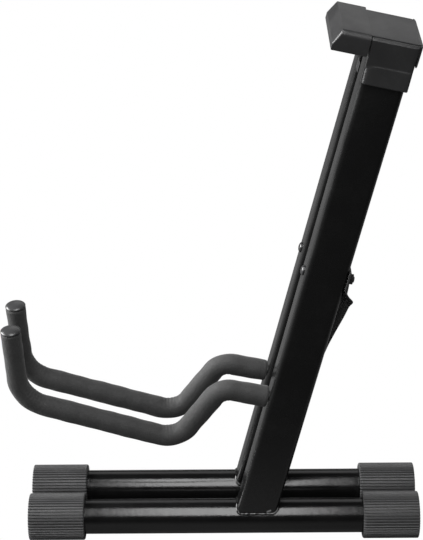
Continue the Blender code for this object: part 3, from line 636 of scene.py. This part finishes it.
def upright(name, side):
    """A rounded rectangle carried up the leg; its foot follows the round of the foot tube below it."""
    loop = upright_loop(8)
    low = foot_line(loop)
    share = np.concatenate([[0], np.linspace(0.01, 1, 24)])[:, None]
    rise = low + (UPRIGHT_TOP - low) * share
    points = leg_space(side, loop[:, 0], loop[:, 1], rise)
    mesh = outward(make_mesh(name, points, ends=(True, True)))
    piece(name, mesh, leg_body(side), CHIPPED_PAINT, [name])


def foot_line(loop, radius=TUBE_RADIUS - 0.0002):
    """Rise at which the leg's outline meets the round of the foot tube."""
    lift = np.sqrt(radius**2 - loop[:, 0] ** 2)
    return (lift + loop[:, 1] * math.sin(LEAN_BACK)) / math.cos(LEAN_BACK)


def weld(name, side):
    """A bead laid round the foot of the upright: a small circle carried round the joint, swelling in ripples."""
    loop = upright_loop(10)
    closed = np.vstack([loop, loop[:1]])
    steps = np.r_[0, np.cumsum(np.hypot(*np.diff(closed, axis=0).T))]
    even = np.linspace(0, steps[-1], 180, endpoint=False)
    line = np.stack([np.interp(even, steps, closed[:, k]) for k in (0, 1)], -1)
    ahead = np.roll(line, -1, 0) - np.roll(line, 1, 0)
    out = np.stack([ahead[:, 1], -ahead[:, 0]], -1) / np.linalg.norm(ahead, axis=1)[:, None]
    ripple = 0.00105 * (1 + 0.12 * np.sin(even / 0.00095) + 0.08 * np.sin(even / 0.0037 + 1))
    angle = full_turn(12)
    away = 0.0001 + ripple[:, None] * np.cos(angle)
    flat = line[:, None] + out[:, None] * away[..., None]
    rise = foot_line(line)[:, None] + ripple[:, None] * (0.15 + np.sin(angle))
    points = leg_space(side, flat[..., 0], flat[..., 1], rise)
    mesh = outward(make_mesh(name, points, wrap_rows=True))
    piece(name, mesh, leg_body(side), PAINT, sharp=60)


# ---------------------------------------------------------------- arms


def arm_corners():
    """The arm's corners as (forward, up) from the foot of the upright's axis."""
    across = np.array([math.cos(LEAN_BACK), math.sin(LEAN_BACK)])
    along = np.array([-math.sin(LEAN_BACK), math.cos(LEAN_BACK)])
    corners = [along * ARM_RISE]
    corners.append(corners[-1] + across * NECK_LENGTH)
    corners.append(corners[-1] + DROP_LENGTH * np.array([math.cos(DROP_ANGLE), -math.sin(DROP_ANGLE)]))
    corners.append(corners[-1] + CRADLE_LENGTH * np.array([math.cos(CRADLE_ANGLE), math.sin(CRADLE_ANGLE)]))
    corners.append(corners[-1] + POST_LENGTH * np.array([math.sin(POST_LEAN), math.cos(POST_LEAN)]))
    return corners


def arm_line(start, step=0.0009):
    """The arm's middle line, straight runs joined by arcs, as even steps of (forward, up), with how far each
    point is into a bend and to which side the bend's inside lies."""
    corners = arm_corners()
    line, bend = [corners[0] + (corners[1] - corners[0]) / NECK_LENGTH * start], [0.0]
    for before, corner, after, radius in zip(corners, corners[1:], corners[2:], BEND_RADII):
        back = (before - corner) / np.linalg.norm(before - corner)
        ahead = (after - corner) / np.linalg.norm(after - corner)
        half = math.acos(float(back @ ahead)) / 2
        middle = (back + ahead) / np.linalg.norm(back + ahead)
        centre = corner + middle * radius / math.sin(half)
        spoke = corner + back * radius / math.tan(half) - centre
        sweep = math.pi - 2 * half
        inside = -1.0 if back[0] * ahead[1] > back[1] * ahead[0] else 1.0
        for t in np.linspace(0, 1, 25):
            a = inside * sweep * t
            c, s = math.cos(a), math.sin(a)
            line.append(centre + np.array([spoke[0] * c - spoke[1] * s, spoke[0] * s + spoke[1] * c]))
            bend.append(inside * math.sin(math.pi * t) ** 0.7)
    line.append(corners[-1])
    bend.append(0.0)
    line, bend = np.array(line), np.array(bend)
    far = np.r_[0, np.cumsum(np.linalg.norm(np.diff(line, axis=0), axis=1))]
    even = np.linspace(0, far[-1], int(far[-1] / step))
    return np.stack([np.interp(even, far, line[:, k]) for k in (0, 1)], -1), np.interp(even, far, bend), even


def arm_space(side, forward, up, out):
    """World points of an arm, which lies in its leaning leg's plane."""
    depth = -forward * math.cos(LEAN_BACK) - up * math.sin(LEAN_BACK)
    rise = -forward * math.sin(LEAN_BACK) + up * math.cos(LEAN_BACK)
    return leg_space(side, out, depth, rise)


def arm_foam(name, side):
    """A circle carried along the arm: it thins toward the tip, swells softly here and there, and puckers
    in short creases on the inside of each bend."""
    line, bend, far = arm_line(HALF_DEPTH + GAP)
    ahead = np.gradient(line, axis=0)
    ahead /= np.linalg.norm(ahead, axis=1)[:, None]
    normal = np.stack([-ahead[:, 1], ahead[:, 0]], -1)
    length = far[-1]
    thin = ease((far - (length - POST_LENGTH - 0.01)) / 0.045)
    radius = FOAM_RADIUS + (TIP_RADIUS - FOAM_RADIUS) * thin
    radius = radius + 0.00010 * np.sin(far / 0.0061 + side) + 0.00008 * np.sin(far / 0.0023 + 2 * side)
    edge = 0.0011
    near_end = np.minimum(far, length - far) / edge
    radius = radius - edge * (1 - np.sqrt(1 - (1 - np.clip(near_end, 0, 1)) ** 2)) * 0.8
    angle = full_turn(56)
    inner = np.clip(np.cos(angle)[None] * np.sign(bend)[:, None], 0, 1) ** 2 * np.abs(bend)[:, None]
    crease = (0.5 + 0.5 * np.cos(far / 0.00052 + 0.8 * np.sin(far / 0.003))) ** 3
    lumps = 0.00007 * np.sin(far[:, None] / 0.0035 + 3 * np.sin(angle) + side)
    lumps = lumps * np.sin(2 * angle + far[:, None] / 0.011)
    ring = radius[:, None] + lumps - inner * (0.00028 + 0.00038 * crease[:, None])
    forward = line[:, 0, None] + normal[:, 0, None] * ring * np.cos(angle)
    up = line[:, 1, None] + normal[:, 1, None] * ring * np.cos(angle)
    points = arm_space(side, forward, up, ring * np.sin(angle))
    mesh = outward(make_mesh(name, points, ends=(True, True)))
    made = piece(name, mesh, leg_body(side), FOAM, [name], sharp=70)
    made.visible_glossy = False


def arm_end_cap(name, side):
    """A shallow dome turned round the arm's last run, with a rounded rim that stands just over the foam."""
    corners = arm_corners()
    tip = corners[-1]
    ahead = np.array([math.sin(POST_LEAN), math.cos(POST_LEAN)])
    beside = np.array([ahead[1], -ahead[0]])
    turn = quarter_turn(14)
    rim = END_CAP_RADIUS
    outline = [(0.0035, -0.004), (0.0035, 0.0001), (rim - 0.0006, 0.0001), (rim - 0.00015, 0.0003), (rim, 0.0007)]
    outline += [(rim * math.cos(t), 0.0007 + 0.00215 * math.sin(t)) for t in turn[1:-1]]
    outline.append((0.00012, 0.00285))
    local = turned_points(outline, 56)
    forward = tip[0] + beside[0] * local[..., 0] + ahead[0] * local[..., 2]
    up = tip[1] + beside[1] * local[..., 0] + ahead[1] * local[..., 2]
    points = arm_space(side, forward, up, local[..., 1])
    mesh = outward(make_mesh(name, points, ends=(True, True)))
    piece(name, mesh, leg_body(side), END_PLASTIC, [name], sharp=50)


# ---------------------------------------------------------------- leg caps


def cap_section(low, high, slot, open_slot, recessed, rounds, lift):
    """One row round a leg cap, as (out, depth, rise).

    low and high are the inner and outer ends of the row, as (out, rise). The row runs up the outer side,
    round the rear, down the inner side and across the front, where it dips round the socket if that is
    open there; a recessed row starts further back on its inner half. Its rise is mixed between the two
    ends by how far out each point is. lift(depth, rise) pushes the outer side out.
    """
    (x0, u0), (x1, u1) = low, high
    front_round, rear_round = rounds
    front, rear = -HALF_DEPTH, SLEEVE_REAR
    side_depth = front + front_round + np.linspace(0, 1, 14) * (rear - rear_round - front - front_round)
    turn = quarter_turn(7)[1:]
    outer = np.stack([np.full(14, x1), side_depth], -1)
    rear_corner = np.stack(
        [x1 - rear_round + rear_round * np.cos(turn), rear - rear_round + rear_round * np.sin(turn)], -1
    )
    across = np.linspace(0, 1, 10)[1:-1]
    rear_face = np.stack([(x1 - rear_round) + (x0 - x1 + rear_round) * across, np.full(8, rear)], -1)
    inner = np.stack([np.full(20, x0), np.linspace(rear, front, 20)], -1)
    s0, s1, back = slot
    if open_slot:
        walls = np.linspace(0, 1, 9)
        left = np.stack([np.full(9, s0), front + (back - front) * walls], -1)
        middle = np.stack([s0 + (s1 - s0) * np.linspace(0, 1, 8)[1:-1], np.full(6, back)], -1)
        right = np.stack([np.full(9, s1), back + (front - back) * walls], -1)
        socket = np.concatenate([left, middle, right])
    else:
        first, last = max(s0, x0 + 0.0004), max(s1, x0 + 0.0008)
        socket = np.stack([np.linspace(first, last, 24), np.full(24, front)], -1)
    before = np.stack([np.linspace(x0, socket[0, 0], 5)[1:-1], np.full(3, front)], -1)
    after = np.stack([np.linspace(socket[-1, 0], x1 - front_round, 4)[1:-1], np.full(2, front)], -1)
    front_corner = np.stack(
        [x1 - front_round + front_round * np.sin(turn), front + front_round - front_round * np.cos(turn)], -1
    )
    start = np.array([[x1 - front_round, front]])
    row = np.concatenate([outer, rear_corner, rear_face, inner, before, socket, after, start, front_corner[:-1]])
    if recessed:
        inside = (row[:, 0] < PIN_OUT) & (row[:, 1] < front + RECESS_DEPTH)
        row[inside, 1] = front + RECESS_DEPTH
    share = np.clip((row[:, 0] - x0) / (x1 - x0), 0, 1)
    rise = u0 + (u1 - u0) * share
    near_side = ease((row[:, 0] - (x1 - front_round - 0.0002)) / (front_round + 0.0002)) if front_round else share
    pushed = row[:, 0] + lift(row[:, 1], rise) * np.clip(near_side, 0, 1)
    return np.stack([pushed, row[:, 1], rise], -1)


def leg_cap(name, side):
    """Rows of sections stacked up the leg: the sleeve round the upright, the solid block, then the rim."""
    half_socket = UPRIGHT_WIDTH / 2 + 0.00015
    axis = FOOT_OUT - math.tan(LEAN_IN) * 0.355
    slot = (axis - half_socket, axis + half_socket, HALF_DEPTH + 0.0002)

    def lift(depth, rise):
        back = np.clip((-HALF_DEPTH + 0.0075 - depth) / 0.0075, 0, 1)
        top = SLEEVE_FOOT + FLARE_HEIGHT - 0.0062 * (1 - np.sqrt(1 - back**2))
        below = top - rise
        return 0.0004 * ease((below + 0.0004) / 0.0010) + (FLARE - 0.0004) * np.clip(below / FLARE_HEIGHT, 0, 1)

    sections = []
    foot_rows = [(SLEEVE_FOOT - 0.0020, SLEEVE_FOOT, 0.0004), (SLEEVE_FOOT - 0.00185, SLEEVE_FOOT + 0.00015, 0.00012)]
    foot_rows.append((SLEEVE_FOOT - 0.0015, SLEEVE_FOOT + 0.0004, 0.0))
    for u_in, u_out, tuck in foot_rows:
        sections.append(((GAP + tuck / 2, u_in), (LEG_CAP_OUT - tuck, u_out), True, False))

    def level(u, opened, recessed):
        sections.append(((GAP, u), (LEG_CAP_OUT, u), opened, recessed))

    for u in np.linspace(SLEEVE_FOOT + 0.0009, RECESS_FOOT, 14):
        level(u, True, False)
    roof = UPRIGHT_TOP + 0.0003
    for u in np.linspace(RECESS_FOOT, roof, 24):
        level(u, True, True)
    for u, recessed in ((roof, True), (NOSE_FOOT, True), (NOSE_FOOT, False)):
        level(u, False, recessed)
    edge_out = PANEL_OUT - PIN_OUT
    drop = HEAD_TOP - PIN_RISE
    reach = math.hypot(edge_out, drop - 0.0002) + GAP
    under = drop - PANEL_THICKNESS - GAP
    rim_top = drop - 0.0005
    first = math.asin(rim_top / reach)
    last = math.pi / 2 - LEG_SWING - math.acos(under / reach)
    inner_line = [(GAP, 0.0), (GAP, under), (PIN_OUT * 0.5, under), (PIN_OUT, under)]
    inner_line.append((PIN_OUT + under * math.sin(LEG_SWING), under * math.cos(LEG_SWING)))
    arc_turn = np.linspace(last, first - 0.035, 8)
    inner_line += [(PIN_OUT + reach * math.cos(t), reach * math.sin(t)) for t in arc_turn]
    round_top = 0.0014
    outer_rise = list(np.linspace(NOSE_FOOT + 0.0006, PIN_RISE + rim_top - round_top, len(inner_line)))
    for (x, u), up in zip(inner_line, outer_rise):
        low_rise = NOSE_FOOT + 0.0006 if u == 0.0 else PIN_RISE + u
        sections.append(((x, low_rise), (LEG_CAP_OUT, up), False, False))
    last_x = inner_line[-1][0]
    for t in quarter_turn(7)[1:]:
        share = t / (math.pi / 2)
        crown = 0.00010 * math.sin(2 * t)
        x_out = LEG_CAP_OUT - round_top * share + crown
        up = PIN_RISE + rim_top - round_top * (1 - share) + crown
        x_low = last_x + 0.00018 * (1 - math.cos(t))
        x_low_rise = PIN_RISE + rim_top - 0.00025 * (1 - math.sin(t))
        sections.append(((x_low, x_low_rise), (x_out, up), False, False))
    points = []
    for low, high, opened, recessed in sections:
        u = high[1]
        front_round = 0.0006 + 0.0022 * float(ease((SLEEVE_FOOT + FLARE_HEIGHT + 0.0005 - u) / 0.0045))
        rear_round = 0.0014
        if high[0] - low[0] < 0.003:
            front_round, rear_round = 0.0002, 0.0008
        points.append(cap_section(low, high, slot, opened, recessed, (front_round, rear_round), lift))
    points = np.array(points)
    corner = np.array([LEG_CAP_OUT - HEAD_CORNER, COVER_REAR - HEAD_CORNER])
    past = points[..., :2] - corner
    round_in = (past > 0).all(-1) & (points[..., 2] > NOSE_FOOT)
    pull = np.where(round_in, np.minimum(1, HEAD_CORNER / np.maximum(np.linalg.norm(past, axis=-1), 1e-6)), 1)
    points[..., :2] = corner + past * pull[..., None]
    points = head_points(points, side)
    mesh = outward(merged(make_mesh(name, points, ends=(True, True))))
    piece(name, mesh, leg_body(side), PLASTIC, [name], sharp=28)


# ---------------------------------------------------------------- top cover


def nose_shell():
    """The hollow nose: an upside-down U carried from rear to front, its top falling along the chamfer,
    its upper corners rounded; both ends closed, the underside open."""
    top_round = 0.0036
    low_front = 0.3698
    knee = 0.0007
    rows = [(NOSE_REAR, NOSE_TOP)]
    rows += [(a, NOSE_TOP) for a in np.linspace(NOSE_REAR, CHAMFER_REAR, 7)[1:-1]]
    slope = math.atan2(NOSE_TOP - low_front, CHAMFER_REAR - NOSE_FRONT)
    for t in np.linspace(0, slope, 6):
        depth = CHAMFER_REAR + knee * (math.tan(slope / 2) - math.sin(t))
        rows.append((depth, NOSE_TOP - knee * (1 - math.cos(t))))
    start, stop = rows[-1], (NOSE_FRONT, low_front)
    for s in np.linspace(0, 1, 8)[1:]:
        rows.append((start[0] + (stop[0] - start[0]) * s, start[1] + (stop[1] - start[1]) * s))
    points = []
    turn = quarter_turn(9)
    for a, h in rows:
        drop = (NOSE_TOP - h) / (NOSE_TOP - low_front)
        r = top_round * (1 - 0.55 * np.clip(drop, 0, 1))
        r = min(r, h - NOSE_FOOT - 0.0002)
        draft = 0.00045
        half = NOSE_OUT - draft * (h - r - NOSE_FOOT) / (NOSE_TOP - NOSE_FOOT)
        wall = h - r - NOSE_FOOT
        left = [(-NOSE_OUT + (NOSE_OUT - half) * s, NOSE_FOOT + wall * s) for s in np.linspace(0, 1, 6)[:-1]]
        left += [(-half + r - r * math.cos(t), h - r + r * math.sin(t)) for t in turn]
        middle = [(x, h) for x in np.linspace(-half + r, half - r, 9)[1:-1]]
        right = [(-x, u) for x, u in reversed(left)]
        points.append([(x, a, u) for x, u in left + middle + right])
    points = np.array(points)
    return make_mesh("nose", head_points(points), wrap_cols=False, ends=(True, True))


def slab(loop, low, high, edge):
    """A flat slab: its outline carried up, drawn in by a small radius at its top and foot."""
    middle = loop.mean(0)
    rows = []
    for t in quarter_turn(4):
        rows.append((edge * (1 - math.sin(t)), low + edge * (1 - math.cos(t))))
    for t in np.linspace(math.pi / 2, 0, 4):
        rows.append((edge * (1 - math.sin(t)), high - edge * (1 - math.cos(t))))
    size = loop.max(0) - loop.min(0)
    points = []
    for tuck, height in rows:
        shrunk = middle + (loop - middle) * (1 - 2 * tuck / size)
        points.append(np.column_stack([shrunk, np.full(len(loop), height)]))
    return np.array(points)


def top_cover():
    """The cover: nose shell, flat panel and rear wall as one piece."""
    nose = bpy.data.objects.new("nose", nose_shell())
    bpy.context.scene.collection.objects.link(nose)
    top_face = max(nose.data.polygons, key=lambda f: f.center @ Vector(RISE))
    if top_face.normal @ Vector(RISE) < 0:
        nose.data.flip_normals()
    wall = nose.modifiers.new("wall", "SOLIDIFY")
    wall.thickness = COVER_WALL
    wall.offset = -1
    wall.use_even_offset = True
    apply_modifiers(nose)
    radii = [0.0002, 0.0002, 0.0026, 0.0026]
    loop = rounded_loop((-PANEL_OUT, -0.0170), (PANEL_OUT, COVER_REAR - 0.0004), radii, 6)
    panel = slab(loop, HEAD_TOP - PANEL_THICKNESS, HEAD_TOP, 0.0004)
    panel = outward(make_mesh("panel", head_points(panel), ends=(True, True)))
    wall_top = HEAD_TOP - 0.0002
    corner = HEAD_CORNER
    start = math.asin((SLEEVE_REAR + GAP - COVER_REAR + corner) / corner)
    turn = np.linspace(start, math.pi / 2, 8)
    bend_out = LEG_CAP_OUT - corner + corner * np.cos(turn)
    bend_back = COVER_REAR - corner + corner * np.sin(turn)
    half_outline = np.stack([bend_out, bend_back], -1)
    outline = np.concatenate([half_outline, (half_outline * [-1, 1])[::-1]])
    rear = slab(outline, wall_top - REAR_WALL_HEIGHT, wall_top, 0.0006)
    beyond = np.clip((np.abs(rear[..., 0]) - (LEG_CAP_OUT - 0.0022)) / 0.0018, 0, 1)
    sunk = 1 - np.sqrt(1 - 0.96 * beyond**2)
    centre = wall_top - 0.0071
    rear[..., 2] = centre + (rear[..., 2] - centre) * (1 - 0.10 * sunk)
    rear = outward(make_mesh("rear", head_points(rear), ends=(True, True)))
    shell = nose.data
    bpy.data.objects.remove(nose)
    mesh = joined("top_cover", [shell, panel, rear])
    made = piece("top_cover", mesh, "head", PLASTIC, ["top_cover"], sharp=24)
    soften_edges(made, 0.0004)


# ---------------------------------------------------------------- fasteners


def cross_slot(angle, half_width, length):
    """Edge radius of a cross-shaped recess at each angle."""
    c, s = np.abs(np.cos(angle)) + 1e-9, np.abs(np.sin(angle)) + 1e-9
    return np.maximum(np.minimum(length / c, half_width / s), np.minimum(half_width / c, length / s))


def headed(name, space, body, finish, where, facing, dome, shank, slotted=False):
    """A turned fastener with a rounded head; a cross is sunk in the head by drawing the inner rows to its shape."""
    radius, height, lip = dome
    turn = quarter_turn(10)
    outline = [(0.0002, -shank[1]), (shank[0], -shank[1] + 0.0003), (shank[0], 0.0), (radius, 0.0), (radius, lip)]
    curve = [(radius * math.cos(t), lip + height * math.sin(t)) for t in turn[1:]]
    outline += [p for p in curve if p[0] > 0.45 * radius] if slotted else curve[:-1] + [(0.0001, lip + height)]
    local = turned_points(outline, 64)
    if slotted:
        angle = full_turn(64)
        edge = cross_slot(angle, 0.13 * radius, 0.52 * radius)
        top = outline[-1][1] + 0.00008
        for scale, z in ((1.0, top), (0.97, top - 0.00005), (0.8, top - 0.22 * radius), (0.05, top - 0.3 * radius)):
            ring = np.stack([scale * edge * np.cos(angle), scale * edge * np.sin(angle), np.full(64, z)], -1)
            local = np.concatenate([local, ring[None]])
    points = set_along_depth(local, where, facing, space)
    mesh = outward(make_mesh(name, points, ends=(True, True)))
    piece(name, mesh, body, finish, [name], sharp=35)


def ring(name, space, body, finish, slot, where, inner, outer, thickness, corners=0, open_by=0.0):
    """A flat ring with rounded edges, or a nut when its outer edge is cut to corners, or a clip when open."""
    edge = min(0.00025, thickness / 4)
    outline = [
        (inner, edge), (inner, thickness - edge), (inner + edge, thickness), (outer - edge, thickness),
        (outer, thickness - edge), (outer, edge), (outer - edge, 0.0), (inner + edge, 0.0),
    ]
    sides = 96
    angle = np.linspace(open_by, 2 * math.pi - open_by, sides, endpoint=open_by > 0)
    radius = np.array([p[0] for p in outline])
    height = np.array([p[1] for p in outline])
    spread = np.ones((len(outline), sides))
    if corners:
        sector = math.pi / corners
        flat = math.cos(sector) / np.cos((angle + sector) % (2 * sector) - sector)
        outer_rows = radius > (inner + outer) / 2
        spread = np.where(outer_rows[:, None], np.minimum(flat, 1.0)[None], 1.0)
    wide = radius[:, None] * spread
    local = np.stack([wide * np.cos(angle), wide * np.sin(angle), np.broadcast_to(height[:, None], wide.shape)], -1)
    points = set_along_depth(local.transpose(1, 0, 2), where, 1, space)
    whole = open_by == 0
    mesh = outward(make_mesh(name, points, wrap_rows=whole, ends=(not whole, not whole)))
    piece(name, mesh, body, finish, [name], sharp=35)


def fasteners(side):
    """Hinge pin with clip, cap screw, and strap bolt with washer and nut, on one side."""
    name = side_name(side)
    leg, head = in_leg(side), in_head(side)
    body = f"{name}_leg"
    pin_front = NOSE_REAR - COVER_WALL - 0.0030
    headed(
        f"hinge_pin_{name}", head, "head", ZINC, (PIN_OUT, COVER_REAR - 0.0002, PIN_RISE), 1,
        (0.0030, 0.0006, 0.0002), (0.00175, COVER_REAR - pin_front),
    )
    ring(
        f"pin_clip_{name}", head, "head", ZINC, "zinc_steel",
        (PIN_OUT, NOSE_REAR - COVER_WALL - GAP - CLIP_THICKNESS, PIN_RISE), 0.0018, 0.0038, CLIP_THICKNESS, open_by=0.55,
    )
    headed(
        f"cap_screw_{name}", leg, body, ZINC, (0.0, SLEEVE_REAR - 0.0001, SCREW_RISE), 1,
        (0.0026, 0.0005, 0.0001), (0.0014, 0.0075), True,
    )
    bolt_end = BOLT_PLAY + STRAP_THICKNESS + WASHER_THICKNESS + GAP + NUT_THICKNESS + BOLT_STICK_OUT + 2 * HALF_DEPTH
    headed(
        f"strap_bolt_{name}", leg, body, BLACK_STEEL, (0.0, -HALF_DEPTH - 0.0001, BOLT_RISE), -1,
        (0.0035, 0.0017, 0.0002), (0.0020, bolt_end),
    )
    washer = HALF_DEPTH + 2 * GAP + STRAP_THICKNESS
    ring(
        f"strap_washer_{name}", leg, body, BLACK_STEEL, "black_steel", (0.0, washer, BOLT_RISE),
        0.0021, 0.0048, WASHER_THICKNESS,
    )
    ring(
        f"strap_nut_{name}", leg, body, BLACK_STEEL, "black_steel", (0.0, washer + WASHER_THICKNESS + 0.0001, BOLT_RISE),
        0.00205, 0.0040, NUT_THICKNESS, corners=6,
    )


# ---------------------------------------------------------------- strap


def strap_route():
    """Half of the strap's middle line as (out, depth, rise, turn), from the loop's lowest point to its end.

    At turn 0 the webbing's width runs across the stand, at turn 1 from front to back.
    """
    drop = STRAP_DROP
    flat = HALF_DEPTH + GAP + STRAP_THICKNESS / 2
    lowest = BOLT_RISE - drop
    at_bolt = FOOT_OUT + (PIN_OUT - FOOT_OUT) * BOLT_RISE / PIN_RISE
    beside = at_bolt - UPRIGHT_WIDTH / 2 - STRAP_THICKNESS / 2 - 2 * GAP
    rear = flat - STRAP_WIDTH / 2
    sag = STRAP_WIDTH / 15
    return np.array([
        (0, rear + sag, lowest, 1.0),
        (0.50 * beside, rear + sag, lowest + 0.018 * drop, 1.0),
        (0.85 * beside, rear + 2 * sag, lowest + 0.065 * drop, 1.0),
        (0.95 * beside, rear + 3 * sag, lowest + 0.18 * drop, 1.0),
        (0.95 * beside, rear + 5 * sag, lowest + 0.36 * drop, 1.0),
        (beside, rear + 7 * sag, lowest + 0.53 * drop, 1.0),
        (beside + 0.13 * (at_bolt - beside), flat + sag / 4, lowest + 0.67 * drop, 0.80),
        (beside + 0.48 * (at_bolt - beside), flat + 2 * sag, lowest + 0.78 * drop, 0.45),
        (beside + 0.83 * (at_bolt - beside), flat + sag, lowest + 0.86 * drop, 0.15),
        (at_bolt, flat, lowest + 0.93 * drop, 0.0),
        (at_bolt, flat, BOLT_RISE, 0.0),
        (at_bolt, flat, BOLT_RISE + STRAP_TAIL, 0.0),
    ])


def smooth_line(points, steps):
    """Even steps along the cubic curve through all the points; a point's slope comes from its neighbours."""
    far = np.r_[0, np.cumsum(np.linalg.norm(np.diff(points[:, :3], axis=0), axis=1))]
    slope = np.gradient(points, far, axis=0)
    slope[0] *= [1, 1, 0, 0]
    even = np.linspace(0, far[-1], steps)
    k = np.clip(np.searchsorted(far, even, side="right") - 1, 0, len(far) - 2)
    span = (far[k + 1] - far[k])[:, None]
    t = (even - far[k])[:, None] / span
    h00, h10 = 2 * t**3 - 3 * t**2 + 1, t**3 - 2 * t**2 + t
    h01, h11 = -2 * t**3 + 3 * t**2, t**3 - t**2
    curve = h00 * points[k] + h10 * span * slope[k] + h01 * points[k + 1] + h11 * span * slope[k + 1]
    return curve, even


def strap_half(name, side):
    """Half of the webbing: a thin rounded strip carried along the route, turned a quarter on the way."""
    route = strap_route()
    line, far = smooth_line(route, 150)
    turn = np.clip(line[:, 3], 0, 1) * math.pi / 2
    width = np.stack([np.cos(turn), np.sin(turn), np.zeros_like(turn)], -1)
    ahead = np.gradient(line[:, :3], axis=0)
    ahead /= np.linalg.norm(ahead, axis=1)[:, None]
    thick = np.cross(ahead, width)
    thick /= np.linalg.norm(thick, axis=1)[:, None]
    w, t = STRAP_WIDTH / 2 - 0.0005, (STRAP_THICKNESS - 0.0001) / 2
    curl = np.linspace(-math.pi / 2, math.pi / 2, 7)
    across = np.linspace(-1, 1, 17)[1:-1]
    strip = [(w + t * math.cos(c), t * math.sin(c)) for c in curl]
    strip += [(-w * x, t) for x in across]
    strip += [(-w - t * math.cos(c), -t * math.sin(c)) for c in curl]
    strip += [(w * x, -t) for x in across]
    strip = np.array(strip)
    points = line[:, None, :3] + width[:, None] * strip[None, :, 0, None] + thick[:, None] * strip[None, :, 1, None]
    points = head_points(points, side)
    mesh = make_mesh(name, points, ends=(True, True))
    corner = np.zeros(len(mesh.loops), int)
    mesh.loops.foreach_get("vertex_index", corner)
    rows, cols = corner // len(strip), corner % len(strip)
    uv = np.stack([strip[cols, 0] / STRAP_WIDTH + 0.5, far[rows] / STRAP_WIDTH], -1)
    mesh.uv_layers["UVMap"].data.foreach_set("uv", uv.astype(np.float32).ravel())
    outward(mesh)
    made = piece(name, mesh, None, WEBBING, ["strap"], sharp=60)
    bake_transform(made)


def build_object():
    for name, side in SIDES:
        foot_tube(f"foot_tube_{name}", side)
        foot_cap(f"foot_cap_front_{name}", side, -1)
        foot_cap(f"foot_cap_rear_{name}", side, 1)
        upright(f"upright_{name}", side)
        weld(f"weld_{name}", side)
        arm_foam(f"arm_foam_{name}", side)
        arm_end_cap(f"arm_end_cap_{name}", side)
        leg_cap(f"leg_cap_{name}", side)
        fasteners(side)
        strap_half(f"strap_{name}", side)
        rod = bpy.data.objects[f"arm_rod_{name}"]
        rod.material_slots[0].material = PAINT
    top_cover()


# ---------------------------------------------------------------- camera, floor and light


def make_camera():
    """The camera, to the stand's right, looking down at it."""
    down, turn, roll = math.radians(30.562), math.radians(-0.131), math.radians(-0.444)
    back = np.array([math.cos(down) * math.cos(turn), -math.cos(down) * math.sin(turn), math.sin(down)])
    level = np.cross(-back, [0, 0, 1.0])
    level /= np.linalg.norm(level)
    square = np.cross(level, -back)
    right = math.cos(roll) * level + math.sin(roll) * square
    up = math.cos(roll) * square - math.sin(roll) * level
    made = bpy.data.objects.new("camera", bpy.data.cameras.new("camera"))
    bpy.context.scene.collection.objects.link(made)
    matrix = np.eye(4)
    matrix[:3, 0], matrix[:3, 1], matrix[:3, 2], matrix[:3, 3] = right, up, back, (0.9134, 0.0003, 0.7523)
    made.matrix_world = Matrix(matrix.tolist())
    made.data.lens = 105.7
    made.data.shift_x = -0.0015
    made.data.clip_start = 0.01
    bpy.context.scene.camera = made


def make_floor():
    """A pale floor with a faint mottle; seen straight it is white, and it throws less light than it shows. The light
    it throws is painted: painted bounce light under and behind the stand and far out on the camera's side, and
    painted shade in the band between.
    """
    half = 6.0
    corners = np.array([[-half, -half], [half, -half], [half, half], [-half, half]])
    mesh = bpy.data.meshes.new("floor")
    mesh.from_pydata(np.column_stack([corners, np.zeros(4)]).tolist(), [], [(0, 1, 2, 3)])
    floor = bpy.data.objects.new("floor", mesh)
    bpy.context.scene.collection.objects.link(floor)
    made, n, shader, where = new_finish("pale floor")
    place = n.add("ShaderNodeSeparateXYZ", Vector=where).outputs["X"]
    # Painted bounce light: the floor's colour is pale under and behind the stand (behind) and beyond about 1 m on the
    # camera's side (beyond), and it stays dark between them as painted shade.
    behind = n.spread(place, 0.04, 0.17, 1.0, 0.0)
    beyond = n.spread(place, 0.95, 1.25, 0.0, 1.0)
    dim = n.mix(n.noise(where, 3.0, 3), grey(0.02), grey(0.03))
    n.put(shader, "Base Color", n.mix(n.math("MAXIMUM", behind, beyond), dim, grey(0.15)))
    shader.inputs["Roughness"].default_value = 0.9
    glow = n.add("ShaderNodeEmission", Color=grey(1.0), Strength=1.0)
    camera_sees = n.add("ShaderNodeLightPath").outputs["Is Camera Ray"]
    both = n.add("ShaderNodeMixShader")
    n.put(both, "i0", camera_sees)
    made.node_tree.links.new(shader.outputs[0], both.inputs[1])
    made.node_tree.links.new(glow.outputs[0], both.inputs[2])
    made.node_tree.links.new(both.outputs[0], made.node_tree.nodes["Material Output"].inputs["Surface"])
    mesh.materials.append(made)


def make_world():
    """White behind the stand as the camera sees it, and a dim even light from all round."""
    world = bpy.data.worlds.new("studio")
    bpy.context.scene.world = world
    world.use_nodes = True
    n = Nodes(world.node_tree)
    shade = world.node_tree.nodes["Background"]
    camera_sees = n.add("ShaderNodeLightPath").outputs["Is Camera Ray"]
    n.put(shade, "Strength", n.spread(camera_sees, 0, 1, 0.025, 1.0))
    n.put(shade, "Color", grey(1.0))


def softbox(name, place, aim, size, power, specular=1.0):
    """A flat light of size (wide, high) at place, turned to aim."""
    made = bpy.data.objects.new(name, bpy.data.lights.new(name, "AREA"))
    bpy.context.scene.collection.objects.link(made)
    made.data.shape = "RECTANGLE"
    made.data.size, made.data.size_y = size
    made.data.energy = power
    made.data.specular_factor = specular
    made.location = place
    made.rotation_mode = "QUATERNION"
    made.rotation_quaternion = (Vector(aim) - Vector(place)).to_track_quat("-Z", "Y")


def make_lights():
    """An overhead softbox on the viewer's side, a lower one at the front end, and a weak one behind."""
    softbox("overhead", (0.62, 0.0, 1.55), (0, 0, 0.1), (0.68, 1.7), 27.0)
    softbox("front", (-0.3, -1.6, 0.85), (0, 0, 0.3), (1.4, 0.8), 80.0)
    softbox("behind", (-1.4, 0.3, 0.9), (0, 0, 0.2), (1.6, 0.8), 2.5)


make_camera()
make_floor()
make_world()
make_lights()
bpy.context.scene.view_settings.view_transform = "Standard"
build_object()
